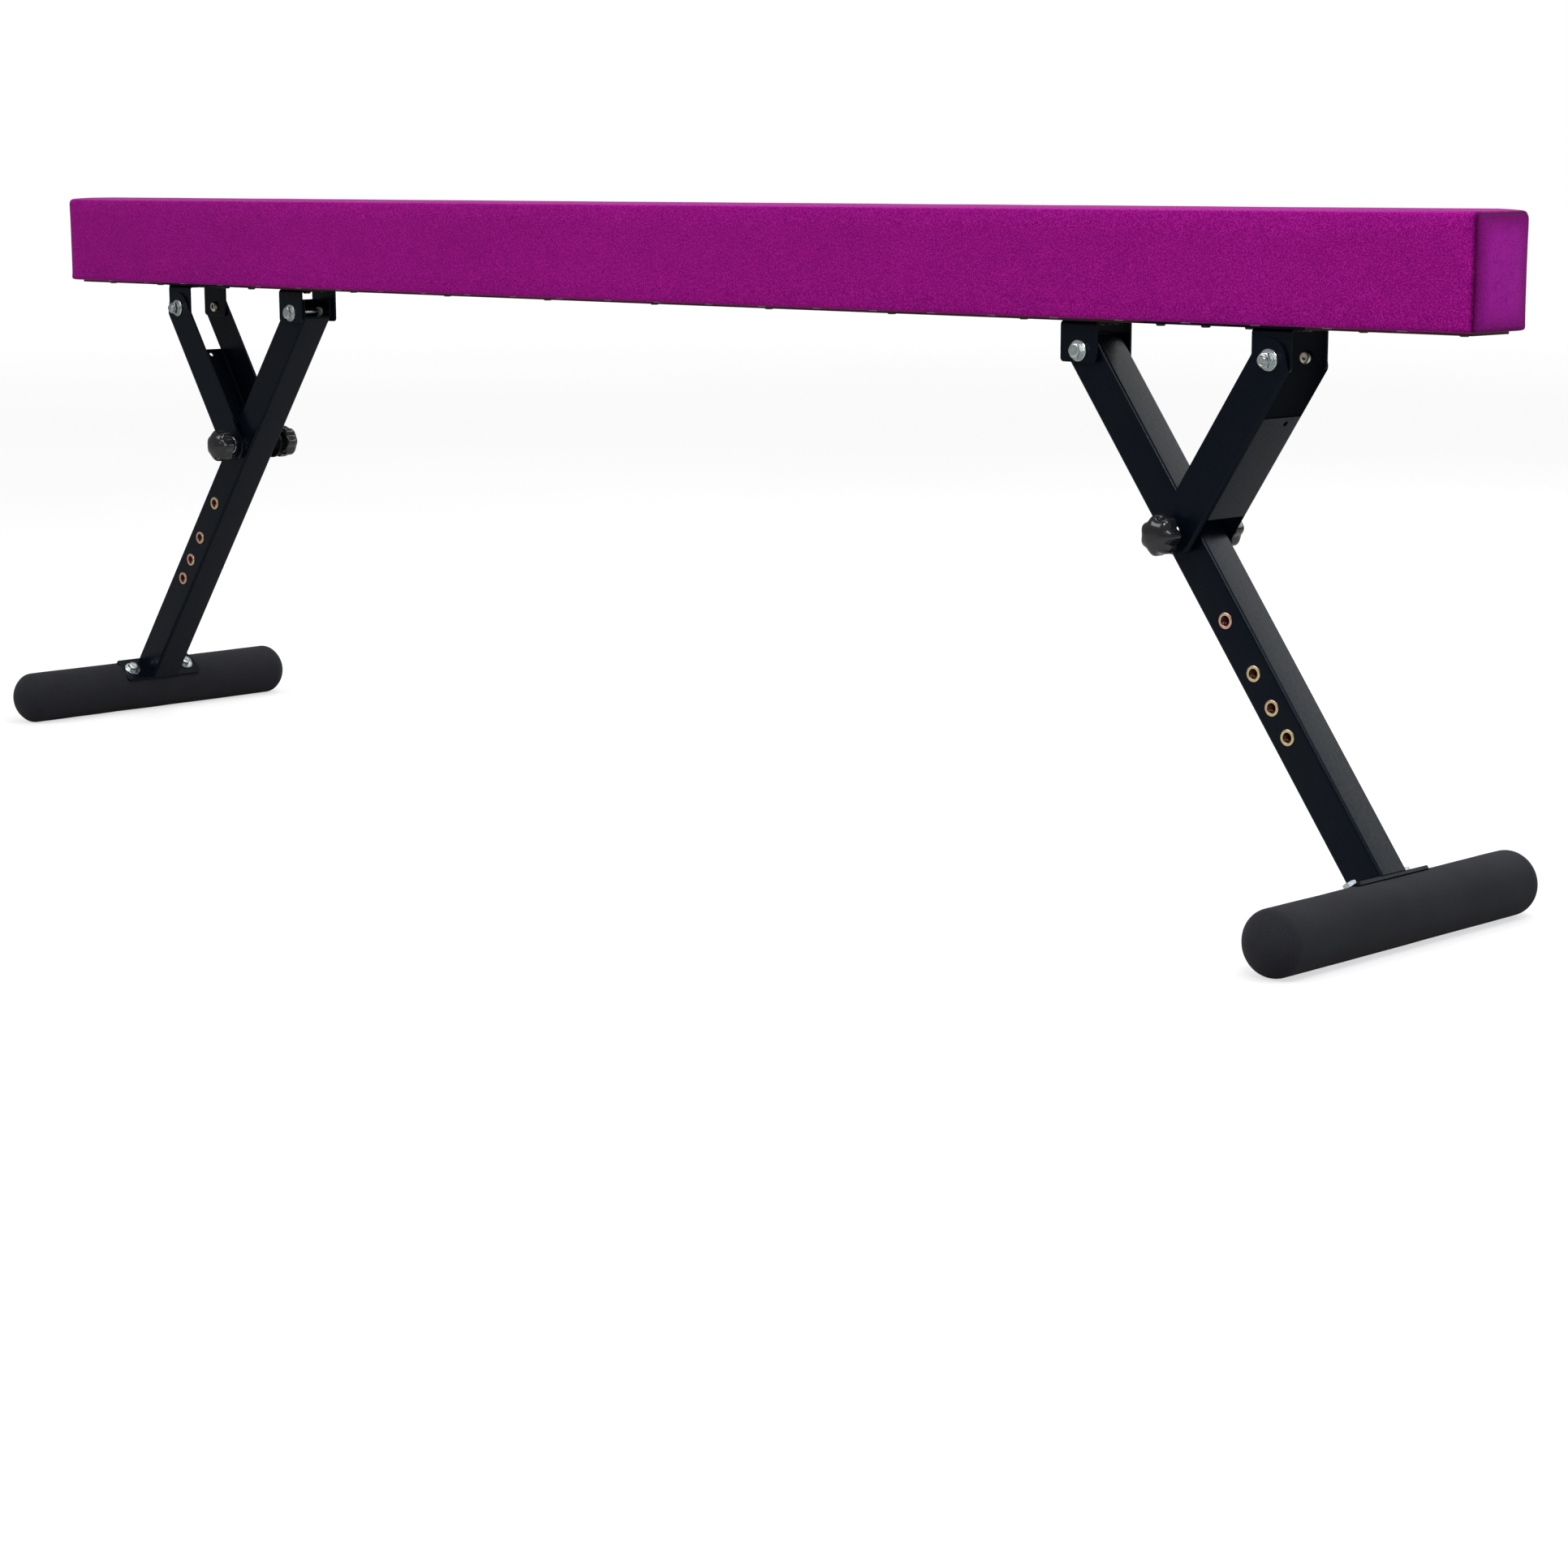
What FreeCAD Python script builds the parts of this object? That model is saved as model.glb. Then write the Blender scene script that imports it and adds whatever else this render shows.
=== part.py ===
import FreeCAD, Part
import math
import os

from FreeCAD import Vector

# A padded balance beam on two folding steel legs, drawn in its raised position.
#
# Each leg hangs from an inner bracket under the beam. A channel-shaped strut hangs from an
# outer bracket and straddles the leg. Two hand knobs pin the strut to one of five pairs of
# threaded inserts in the leg, and the pair in use sets the height. With the knobs out, leg
# and strut both swing up until they lie flat under the beam.
#
# Frame: origin on the floor under the beam's centre, +X along the beam, +Z up, -Y the front.
# The right-hand leg set is modelled, and the left-hand set is its mirror image.

# Driving dimensions, in millimetres and degrees.
BEAM_LENGTH = 2438.4            # eight feet
BEAM_WIDTH = 97.0
BEAM_HEIGHT = 118.0             # walking surface to the cover's lower edge
COVER_THICKNESS = 1.5
PAD_TOP = 14.0
PAD_SIDE = 8.0
PAD_END = 12.0
BEAM_EDGE_RADIUS = 8.0

INNER_PIVOT_X = 703.5           # leg hinge, from the beam's centre
PIVOT_SPACING = 258.5           # leg hinge to strut hinge
PIVOT_DROP = 34.5               # cover's lower edge to both hinges
STRUT_LENGTH = 222.5            # strut hinge to knob
LEG_LENGTH = 690.0              # leg hinge to the foot's centre
INSERT_DISTANCES = (231.5, 339.5, 404.0, 445.5, PIVOT_SPACING + STRUT_LENGTH)

TUBE_WIDTH = 45.0
TUBE_WALL = 2.0
TUBE_CORNER = 4.0
SHEET = 3.0                     # steel of brackets, plates and struts
GAP = 0.3                       # between neighbours that move past each other

FOOT_RADIUS = 35.0
FOOT_LENGTH = 458.0
FOOT_DOME = 28.0
FOOT_KNUCKLE = 20.0
FOOT_PIPE_RADIUS = 30.15

BOLT_RADIUS = 4.75              # 3/8 inch hardware throughout
PIN_CLEARANCE = 0.05
BOLT_CHAMFER = 1.0
HEX_ACROSS_FLATS = 14.3
HEX_HEAD_HEIGHT = 6.0
NUT_HEIGHT = 7.2
NUT_COLLAR_HEIGHT = 2.8
THREAD_BEYOND_SEAT = 12.0       # bolt length past the washer that its nut sits on
WASHER_RADIUS = 11.5
WASHER_THICKNESS = 1.6
BUTTON_RADIUS = 7.2
BUTTON_HEIGHT = 4.0
BUTTON_RIM = 1.4
BUTTON_SOCKET = 5.5             # across flats
BUTTON_SOCKET_DEPTH = 2.6

# Worked out from the driving dimensions.
KNOB_DISTANCE = INSERT_DISTANCES[0]
LEG_ANGLE = math.degrees(math.acos(
    (PIVOT_SPACING ** 2 + KNOB_DISTANCE ** 2 - STRUT_LENGTH ** 2)
    / (2 * PIVOT_SPACING * KNOB_DISTANCE)))
STRUT_ANGLE = 180 - math.degrees(math.acos(
    (PIVOT_SPACING ** 2 + STRUT_LENGTH ** 2 - KNOB_DISTANCE ** 2)
    / (2 * PIVOT_SPACING * STRUT_LENGTH)))
OUTER_PIVOT_X = INNER_PIVOT_X + PIVOT_SPACING
PIVOT_Z = FOOT_RADIUS + LEG_LENGTH * math.sin(math.radians(LEG_ANGLE))
COVER_BOTTOM = PIVOT_Z + PIVOT_DROP
BEAM_TOP = COVER_BOTTOM + BEAM_HEIGHT
SLAT_BOTTOM = COVER_BOTTOM - SHEET
WEB_BOTTOM = SLAT_BOTTOM - SHEET

# Beam.
CORE_HALF_LENGTH = BEAM_LENGTH / 2 - COVER_THICKNESS - PAD_END
CORE_HALF_WIDTH = BEAM_WIDTH / 2 - COVER_THICKNESS - PAD_SIDE
CORE_BOTTOM = COVER_BOTTOM + COVER_THICKNESS
CORE_TOP = BEAM_TOP - COVER_THICKNESS - PAD_TOP
SLAT_HALF_WIDTH = 31.5
SLAT_END = BEAM_LENGTH / 2 - 16
SLAT_SCREW_STEP = 200.0
SLAT_SCREW_COUNT = 7            # in the long centre slat
END_SCREW_INSETS = (30.0, 150.0)
FLAP_INNER_Y = 29.5             # inner edge of the cover's turned-under flap
FLAP_INNER_X = BEAM_LENGTH / 2 - 34
STAPLE_Y = 36.0
STAPLE_STEP = 90.0
STAPLE_COUNT = 26
STAPLE_CROWN = 12.0
STAPLE_WIRE = 0.7
STAPLE_LEG = 9.0

# Brackets. The strut straddles the outer bracket, and the folded leg lies inside it.
EAR_WIDTH = 50.0
EAR_BELOW_PIVOT = 12.5
EAR_CORNER = 4.5
BEND_RADIUS = 5.0
INNER_EAR_Y = 29.5              # outer face of the inner bracket's ears
OUTER_EAR_Y = 31.5              # outer face of the outer bracket's ears
PLATE_INBOARD = 170.0           # outer mount plate, from the strut hinge
PLATE_OUTBOARD = 42.0
INNER_SCREW_X = 15.0            # from the leg hinge, each way
INNER_SCREW_Y = 12.0
PLATE_SCREW_X = (-155.0, -95.0, -38.0, 35.0)    # from the strut hinge
PLATE_SCREW_Y = 18.0
SCREW_RADIUS = 2.5
SCREW_HEAD_RADIUS = 5.0
SCREW_HEAD_HEIGHT = 2.6
SCREW_HEAD_ROUNDING = 1.4
SCREW_DRIVE = 3.0               # across flats
SCREW_DRIVE_DEPTH = 1.5
SCREW_LENGTH = 32.0
SCREW_POINT = 5.0
SCREW_HOLE_CLEARANCE = 0.2

# Leg.
TUBE_TOP_INBOARD = 22.0         # the mitred tube end stops here, inboard of the hinge
TUBE_TOP_ABOVE = 17.0           # and here, above the hinge
BUSH_RADIUS = 6.5
BUSH_FLANGE_RADIUS = 12.5
BUSH_DEPTH = 6.0
INSERT_RADIUS = 5.75
INSERT_FLANGE_RADIUS = 8.75
INSERT_FLANGE = 1.5
INSERT_DEPTH = 11.0
INSERT_BULGE_RADIUS = 7.2
INSERT_BULGE = 3.0
INSERT_BORE_RADIUS = 4.0
INSERT_MOUTH_RADIUS = 5.6
FOOT_PLATE = 4.0
FOOT_PLATE_WIDTH = 42.0
FOOT_PLATE_LENGTH = 124.0
FOOT_BOLT_Y = 46.0
FOOT_BOLT_GRIP = 18.0           # bolt length past the plate, inside the foot
FOOT_PIPE_WALL = 3.0
FOOT_POCKET_CLEARANCE = 0.5
FOOT_POCKET_CUT = 1.0           # the foam's pocket bares a strip of the pipe, for the bolts

# Strut, in its own frame: s runs from hinge to knob, n points to the web side.
CHEEK_INNER_Y = OUTER_EAR_Y + GAP
CHEEK_OUTER_Y = CHEEK_INNER_Y + SHEET
CHEEK_RADIUS = 21.5
WEB_OUTER_N = 27.5
CHEEK_CORNER_OVERHANG = 2.0
WEB_START = 55.0
WEB_END = 184.0
WEB_HOLE_RADIUS = 3.2
WEB_HOLE_INSET = 8.0
WEB_HOLE_Y = 11.0
SPACER_RADIUS = 10.0
SPACER_INNER_Y = 24.8

# Knobs.
STUD_TIP_Y = 24.4               # just clear of the insert's flange
KNOB_BACK_Y = CHEEK_OUTER_Y + GAP + WASHER_THICKNESS + GAP
KNOB_DEPTH = 32.0
KNOB_HUB_RADIUS = 10.5
KNOB_HUB_LENGTH = 9.0
KNOB_RADIUS = 22.5
KNOB_LOBES = 7
LOBE_RADIUS = 6.2
VALLEY_RADIUS = 5.0
KNOB_RIM = 11.0
KNOB_SHOULDER_RADIUS = 14.6     # where the rim's rounding meets the nearly flat face
KNOB_SHOULDER_DROP = 2.2
KNOB_EDGE_CHAMFER = 2.0
KNOB_RECESS_RADIUS = 16.0
KNOB_RECESS_DEPTH = 5.0


def box(x0, x1, y0, y1, z0, z1):
    """A box between opposite corners."""
    return Part.makeBox(x1 - x0, y1 - y0, z1 - z0, Vector(x0, y0, z0))


def rounded_bar(x0, x1, half_y, half_z, radius):
    """A bar along X with a rounded rectangular section."""
    bar = box(x0, x1, -half_y, half_y, -half_z, half_z)
    long_edges = [edge for edge in bar.Edges if abs(edge.tangentAt(0).x) > 0.9]
    return bar.makeFillet(radius, long_edges)


def along_y(x, z, y0, y1, radius):
    """A cylinder parallel to Y."""
    low = min(y0, y1)
    return Part.makeCylinder(radius, abs(y1 - y0), Vector(x, low, z), Vector(0, 1, 0))


def face_y(shape, x, y, z, outward):
    """Stand a shape that was drawn along +Z on a face whose outward side is +Y or -Y."""
    turned = shape.copy()
    turned.rotate(Vector(0, 0, 0), Vector(1, 0, 0), -90 * outward)
    turned.translate(Vector(x, y, z))
    return turned


def swing(shape, pivot_x, angle):
    """Hang a part, drawn along +X from its hinge, at an angle below the horizontal."""
    placed = shape.copy()
    placed.rotate(Vector(0, 0, 0), Vector(0, 1, 0), angle)
    placed.translate(Vector(pivot_x, 0, PIVOT_Z))
    return placed


def group(shapes):
    """Separate solids that share one node."""
    return Part.makeCompound(shapes)


def fused(shapes):
    """One clean solid from several."""
    whole = shapes[0].multiFuse(shapes[1:]) if len(shapes) > 1 else shapes[0]
    return whole.removeSplitter()


def turned_profile(points):
    """Revolve a closed outline of (radius, height) points and three-point arcs about Z."""
    edges = []
    start = points[0]
    for step in points[1:]:
        if len(step) == 2:
            edges.append(Part.LineSegment(Vector(start[0], 0, start[1]),
                                          Vector(step[0], 0, step[1])).toShape())
            start = step
        else:
            middle = Vector(step[0], 0, step[1])
            end = Vector(step[2], 0, step[3])
            edges.append(Part.Arc(Vector(start[0], 0, start[1]), middle, end).toShape())
            start = (step[2], step[3])
    face = Part.Face(Part.Wire(edges))
    return face.revolve(Vector(0, 0, 0), Vector(0, 0, 1), 360)


def hexagon(across_flats, height):
    """A hexagonal prism along +Z."""
    corner = across_flats / math.sqrt(3)
    points = [Vector(corner * math.cos(math.radians(60 * k)),
                     corner * math.sin(math.radians(60 * k)), 0) for k in range(7)]
    return Part.Face(Part.makePolygon(points)).extrude(Vector(0, 0, height))


def chamfered_hexagon(across_flats, height):
    """A hexagon whose top corners are turned down at thirty degrees."""
    top_radius = across_flats / 2 * 0.96
    cone = Part.makeCone(top_radius + height * math.sqrt(3), top_radius, height)
    return hexagon(across_flats, height).common(cone)


def washer():
    """A plain washer, standing on z = 0."""
    ring = Part.makeCylinder(WASHER_RADIUS, WASHER_THICKNESS)
    return ring.cut(Part.makeCylinder(BOLT_RADIUS + PIN_CLEARANCE, WASHER_THICKNESS))


def lock_nut():
    """A hexagon nut with the round collar that holds its locking ring."""
    collar = Part.makeCylinder(HEX_ACROSS_FLATS / 2 * 0.9, NUT_COLLAR_HEIGHT,
                               Vector(0, 0, NUT_HEIGHT))
    nut = fused([chamfered_hexagon(HEX_ACROSS_FLATS, NUT_HEIGHT), collar])
    return nut.cut(Part.makeCylinder(BOLT_RADIUS, NUT_HEIGHT + NUT_COLLAR_HEIGHT))


def bolt_shank(z0, z1):
    """A bolt's shank with a chamfered lower end."""
    straight = Part.makeCylinder(BOLT_RADIUS, z1 - z0 - BOLT_CHAMFER,
                                 Vector(0, 0, z0 + BOLT_CHAMFER))
    tip = Part.makeCone(BOLT_RADIUS - BOLT_CHAMFER, BOLT_RADIUS, BOLT_CHAMFER, Vector(0, 0, z0))
    return fused([straight, tip])


def hex_bolt(length):
    """Head above z = 0 and shank below it."""
    return fused([chamfered_hexagon(HEX_ACROSS_FLATS, HEX_HEAD_HEIGHT), bolt_shank(-length, 0)])


def wood_screw(x, y, head_z):
    """A pan-head screw driven upwards, its head hanging below head_z."""
    head = Part.makeCylinder(SCREW_HEAD_RADIUS, SCREW_HEAD_HEIGHT)
    rim = [edge for edge in head.Edges if edge.BoundBox.ZMax < SCREW_HEAD_HEIGHT / 2]
    head = head.makeFillet(SCREW_HEAD_ROUNDING, rim).cut(hexagon(SCREW_DRIVE, SCREW_DRIVE_DEPTH))
    straight = SCREW_LENGTH - SCREW_POINT
    shank = Part.makeCylinder(SCREW_RADIUS, straight, Vector(0, 0, SCREW_HEAD_HEIGHT))
    point = Part.makeCone(SCREW_RADIUS, SCREW_RADIUS / 6, SCREW_POINT,
                          Vector(0, 0, SCREW_HEAD_HEIGHT + straight))
    screw = fused([head, shank, point])
    screw.translate(Vector(x, y, head_z - SCREW_HEAD_HEIGHT))
    return screw


def screw_holes(places, z0, z1):
    """Clearance holes for wood screws."""
    radius = SCREW_RADIUS + SCREW_HOLE_CLEARANCE
    return [Part.makeCylinder(radius, z1 - z0, Vector(x, y, z0)) for x, y in places]


# ---------------------------------------------------------------- beam

def padded_block(inset):
    """The beam's outer form, shrunk by an inset on its top, sides and ends."""
    half_length = BEAM_LENGTH / 2 - inset
    half_width = BEAM_WIDTH / 2 - inset
    block = box(-half_length, half_length, -half_width, half_width,
                COVER_BOTTOM + inset, BEAM_TOP - inset)
    return block.makeFillet(BEAM_EDGE_RADIUS - inset, block.Edges)


def beam_core():
    return box(-CORE_HALF_LENGTH, CORE_HALF_LENGTH, -CORE_HALF_WIDTH, CORE_HALF_WIDTH,
               CORE_BOTTOM, CORE_TOP)


def beam_foam():
    return padded_block(COVER_THICKNESS).cut(beam_core())


def beam_cover():
    opening = box(-FLAP_INNER_X, FLAP_INNER_X, -FLAP_INNER_Y, FLAP_INNER_Y,
                  COVER_BOTTOM, CORE_BOTTOM)
    return padded_block(0).cut(padded_block(COVER_THICKNESS)).cut(opening)


def staple(x, y):
    """One staple through the flap, its crown just under the cloth."""
    half = STAPLE_CROWN / 2
    wire = STAPLE_WIRE
    crown = box(x - half, x + half, y - wire, y + wire, COVER_BOTTOM - wire, COVER_BOTTOM)
    legs = [box(end - wire / 2, end + wire / 2, y - wire, y + wire, COVER_BOTTOM - wire,
                COVER_BOTTOM + STAPLE_LEG)
            for end in (x - half + wire / 2, x + half - wire / 2)]
    return fused([crown] + legs)


def cover_staples():
    first = -STAPLE_STEP * (STAPLE_COUNT - 1) / 2
    return group([staple(first + STAPLE_STEP * k, y)
                  for k in range(STAPLE_COUNT) for y in (-STAPLE_Y, STAPLE_Y)])


def slat_screw_places():
    """Screws of the long centre slat and of the two short end slats."""
    first = -SLAT_SCREW_STEP * (SLAT_SCREW_COUNT - 1) / 2
    centre = [(first + SLAT_SCREW_STEP * k, 0.0) for k in range(SLAT_SCREW_COUNT)]
    ends = [(side * (SLAT_END - inset), 0.0) for side in (-1, 1) for inset in END_SCREW_INSETS]
    return centre + ends


def bottom_slats():
    """Thin wooden slats that close the beam's underside between the mount plates."""
    plate_inner = OUTER_PIVOT_X - PLATE_INBOARD
    plate_outer = OUTER_PIVOT_X + PLATE_OUTBOARD
    spans = [(-plate_inner, plate_inner), (plate_outer, SLAT_END), (-SLAT_END, -plate_outer)]
    holes = screw_holes(slat_screw_places() + mirrored(inner_screw_places()),
                        SLAT_BOTTOM, COVER_BOTTOM)
    return group([box(x0, x1, -SLAT_HALF_WIDTH, SLAT_HALF_WIDTH,
                      SLAT_BOTTOM, COVER_BOTTOM).cut(holes) for x0, x1 in spans])


def slat_screws():
    return group([wood_screw(x, y, SLAT_BOTTOM) for x, y in slat_screw_places()])


def mirrored(places):
    """The same places on both halves of the beam."""
    return places + [(-x, y) for x, y in places]


# ---------------------------------------------------------------- brackets

def inner_screw_places():
    return [(INNER_PIVOT_X + dx, dy) for dx in (-INNER_SCREW_X, INNER_SCREW_X)
            for dy in (-INNER_SCREW_Y, INNER_SCREW_Y)]


def outer_screw_places():
    return [(OUTER_PIVOT_X + dx, dy) for dx in PLATE_SCREW_X
            for dy in (-PLATE_SCREW_Y, PLATE_SCREW_Y)]


def ear_bracket(pivot_x, outer_y):
    """An inverted U of bent sheet: two ears joined by a web under the beam."""
    z0 = PIVOT_Z - EAR_BELOW_PIVOT
    half = EAR_WIDTH / 2
    block = box(pivot_x - half, pivot_x + half, -outer_y, outer_y, z0, SLAT_BOTTOM)
    bends = [edge for edge in block.Edges
             if edge.BoundBox.ZMin > SLAT_BOTTOM - 1 and abs(edge.tangentAt(0).x) > 0.9]
    block = block.makeFillet(BEND_RADIUS, bends)
    inner_y = outer_y - SHEET
    hollow = box(pivot_x - half, pivot_x + half, -inner_y, inner_y, z0, WEB_BOTTOM)
    inner_bends = [edge for edge in hollow.Edges
                   if edge.BoundBox.ZMin > WEB_BOTTOM - 1 and abs(edge.tangentAt(0).x) > 0.9]
    channel = block.cut(hollow.makeFillet(BEND_RADIUS - SHEET, inner_bends))
    corners = [edge for edge in channel.Edges
               if edge.BoundBox.ZMax < z0 + 1 and abs(edge.tangentAt(0).y) > 0.9]
    channel = channel.makeFillet(EAR_CORNER, corners)
    return channel.cut(along_y(pivot_x, PIVOT_Z, -outer_y, outer_y, BOLT_RADIUS + PIN_CLEARANCE))


def inner_bracket():
    return ear_bracket(INNER_PIVOT_X, INNER_EAR_Y).cut(
        screw_holes(inner_screw_places(), WEB_BOTTOM, SLAT_BOTTOM))


def outer_bracket():
    return ear_bracket(OUTER_PIVOT_X, OUTER_EAR_Y)


def mount_plate():
    """A long plate let in between the slats, which the outer bracket is welded to."""
    plate = box(OUTER_PIVOT_X - PLATE_INBOARD, OUTER_PIVOT_X + PLATE_OUTBOARD,
                -SLAT_HALF_WIDTH, SLAT_HALF_WIDTH, SLAT_BOTTOM, COVER_BOTTOM)
    return plate.cut(screw_holes(outer_screw_places(), SLAT_BOTTOM, COVER_BOTTOM))


def bracket_screws():
    inner = [wood_screw(x, y, WEB_BOTTOM) for x, y in inner_screw_places()]
    outer = [wood_screw(x, y, SLAT_BOTTOM) for x, y in outer_screw_places()]
    return group(inner + outer)


# ---------------------------------------------------------------- leg

def leg_tube():
    """Square tube, its top end mitred to clear the bracket's web in every position."""
    end = LEG_LENGTH - FOOT_PIPE_RADIUS - FOOT_PLATE
    half = TUBE_WIDTH / 2
    inner = half - TUBE_WALL
    start = -2 * TUBE_WIDTH
    tube = rounded_bar(start, end, half, half, TUBE_CORNER)
    tube = tube.cut(rounded_bar(start, end, inner, inner, TUBE_CORNER - TUBE_WALL))
    tube = tube.cut(along_y(0, 0, -half, half, BUSH_RADIUS))
    tube = tube.cut([along_y(u, 0, -half, half, INSERT_RADIUS) for u in INSERT_DISTANCES])
    tube = swing(tube, INNER_PIVOT_X, LEG_ANGLE)
    room = box(INNER_PIVOT_X - TUBE_TOP_INBOARD, BEAM_LENGTH, -half, half,
               0, PIVOT_Z + TUBE_TOP_ABOVE)
    return tube.common(room)


def leg_bushes():
    """Flanged nylon bushes in the tube's walls, which turn on the hinge bolt."""
    half = TUBE_WIDTH / 2
    flange = INNER_EAR_Y - SHEET - GAP - half
    body = Part.makeCylinder(BUSH_RADIUS, BUSH_DEPTH, Vector(0, 0, -BUSH_DEPTH))
    bush = fused([body, Part.makeCylinder(BUSH_FLANGE_RADIUS, flange)])
    bore = Part.makeCylinder(BOLT_RADIUS + PIN_CLEARANCE, BUSH_DEPTH + flange,
                             Vector(0, 0, -BUSH_DEPTH))
    bush = bush.cut(bore)
    pair = [face_y(bush, 0, side * half, 0, side) for side in (-1, 1)]
    return swing(group(pair), INNER_PIVOT_X, LEG_ANGLE)


def threaded_insert():
    """A rivet nut: flange outside the wall, squeezed bulge behind it, countersunk bore."""
    body = INSERT_RADIUS
    bulge_top = -TUBE_WALL
    mouth = INSERT_MOUTH_RADIUS - INSERT_BORE_RADIUS
    return turned_profile([
        (INSERT_BORE_RADIUS, -INSERT_DEPTH),
        (body, -INSERT_DEPTH),
        (body, bulge_top - INSERT_BULGE),
        (INSERT_BULGE_RADIUS, bulge_top - INSERT_BULGE / 2),
        (body, bulge_top),
        (body, 0),
        (INSERT_FLANGE_RADIUS, 0),
        (INSERT_FLANGE_RADIUS, INSERT_FLANGE / 2),
        (INSERT_FLANGE_RADIUS - INSERT_FLANGE / 2, INSERT_FLANGE),
        (INSERT_MOUTH_RADIUS, INSERT_FLANGE),
        (INSERT_BORE_RADIUS, INSERT_FLANGE - mouth),
        (INSERT_BORE_RADIUS, -INSERT_DEPTH)])


def leg_inserts():
    one = threaded_insert()
    half = TUBE_WIDTH / 2
    both_walls = [face_y(one, u, side * half, 0, side)
                  for u in INSERT_DISTANCES for side in (-1, 1)]
    return swing(group(both_walls), INNER_PIVOT_X, LEG_ANGLE)


def foot_bolt_holes(u0, u1):
    """Holes for the two foot bolts, along the leg, between two distances from its hinge."""
    return [Part.makeCylinder(BOLT_RADIUS, u1 - u0, Vector(u0, y, 0), Vector(1, 0, 0))
            for y in (-FOOT_BOLT_Y, FOOT_BOLT_Y)]


def foot_plate():
    low = LEG_LENGTH - FOOT_PIPE_RADIUS - FOOT_PLATE
    plate = box(low, low + FOOT_PLATE, -FOOT_PLATE_LENGTH / 2, FOOT_PLATE_LENGTH / 2,
                -FOOT_PLATE_WIDTH / 2, FOOT_PLATE_WIDTH / 2)
    corners = [edge for edge in plate.Edges if abs(edge.tangentAt(0).x) > 0.9]
    plate = plate.makeFillet(TUBE_CORNER, corners)
    return swing(plate.cut(foot_bolt_holes(low, low + FOOT_PLATE)), INNER_PIVOT_X, LEG_ANGLE)


def foot_pipe():
    half = FOOT_LENGTH / 2 - FOOT_DOME
    pipe = along_y(LEG_LENGTH, 0, -half, half, FOOT_PIPE_RADIUS)
    pipe = pipe.cut(along_y(LEG_LENGTH, 0, -half, half, FOOT_PIPE_RADIUS - FOOT_PIPE_WALL))
    holes = foot_bolt_holes(LEG_LENGTH - FOOT_RADIUS, LEG_LENGTH)
    return swing(pipe.cut(holes), INNER_PIVOT_X, LEG_ANGLE)


def foot_sleeve():
    """Foam sleeve with closed, rounded ends, cut away round the foot plate."""
    half = FOOT_LENGTH / 2
    straight = half - FOOT_DOME
    ring = FOOT_RADIUS - FOOT_KNUCKLE
    crown = (FOOT_DOME ** 2 + ring ** 2 - FOOT_KNUCKLE ** 2) / (2 * (FOOT_DOME - FOOT_KNUCKLE))
    centre = half - crown
    meet = math.atan2(ring, straight - centre)
    knuckle_middle = (meet + math.pi / 2) / 2
    arc_end = (crown * math.sin(meet), centre + crown * math.cos(meet))
    knuckle = (ring + FOOT_KNUCKLE * math.sin(knuckle_middle),
               straight + FOOT_KNUCKLE * math.cos(knuckle_middle))
    tip = (crown * math.sin(meet / 2), centre + crown * math.cos(meet / 2))
    body = turned_profile([
        (0, -half),
        (tip[0], -tip[1], arc_end[0], -arc_end[1]),
        (knuckle[0], -knuckle[1], FOOT_RADIUS, -straight),
        (FOOT_RADIUS, straight),
        knuckle + arc_end,
        tip + (0, half),
        (0, -half)])
    sleeve = face_y(body, LEG_LENGTH, 0, 0, 1)
    sleeve = sleeve.cut(along_y(LEG_LENGTH, 0, -straight, straight, FOOT_PIPE_RADIUS))
    half_width = FOOT_PLATE_WIDTH / 2 + FOOT_POCKET_CLEARANCE
    half_length = FOOT_PLATE_LENGTH / 2 + FOOT_POCKET_CLEARANCE
    floor = LEG_LENGTH - FOOT_PIPE_RADIUS + FOOT_POCKET_CUT
    pocket = box(LEG_LENGTH - 2 * FOOT_RADIUS, floor,
                 -half_length, half_length, -half_width, half_width)
    return swing(sleeve.cut(pocket), INNER_PIVOT_X, LEG_ANGLE)


def on_foot_plate(shape):
    """Copies of a part, drawn along +Z, at both foot bolts and pointing up the leg."""
    seat = LEG_LENGTH - FOOT_PIPE_RADIUS - FOOT_PLATE
    placed = []
    for y in (-FOOT_BOLT_Y, FOOT_BOLT_Y):
        one = shape.copy()
        one.rotate(Vector(0, 0, 0), Vector(0, 1, 0), -90)
        one.translate(Vector(seat, y, 0))
        placed.append(one)
    return swing(group(placed), INNER_PIVOT_X, LEG_ANGLE)


def foot_bolts():
    bolt = hex_bolt(WASHER_THICKNESS + FOOT_PLATE + FOOT_BOLT_GRIP)
    bolt.translate(Vector(0, 0, WASHER_THICKNESS))
    return on_foot_plate(bolt)


def foot_washers():
    return on_foot_plate(washer())


# ---------------------------------------------------------------- leg hinge

def hinge_bolt():
    """One long bolt through both ears, with its head at the front."""
    head_y = INNER_EAR_Y + WASHER_THICKNESS
    bolt = hex_bolt(2 * head_y + THREAD_BEYOND_SEAT)
    return face_y(bolt, INNER_PIVOT_X, -head_y, PIVOT_Z, -1)


def hinge_washers():
    return group([face_y(washer(), INNER_PIVOT_X, side * INNER_EAR_Y, PIVOT_Z, side)
                  for side in (-1, 1)])


def hinge_nut():
    seat = INNER_EAR_Y + WASHER_THICKNESS
    return face_y(lock_nut(), INNER_PIVOT_X, seat, PIVOT_Z, 1)


# ---------------------------------------------------------------- strut

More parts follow.
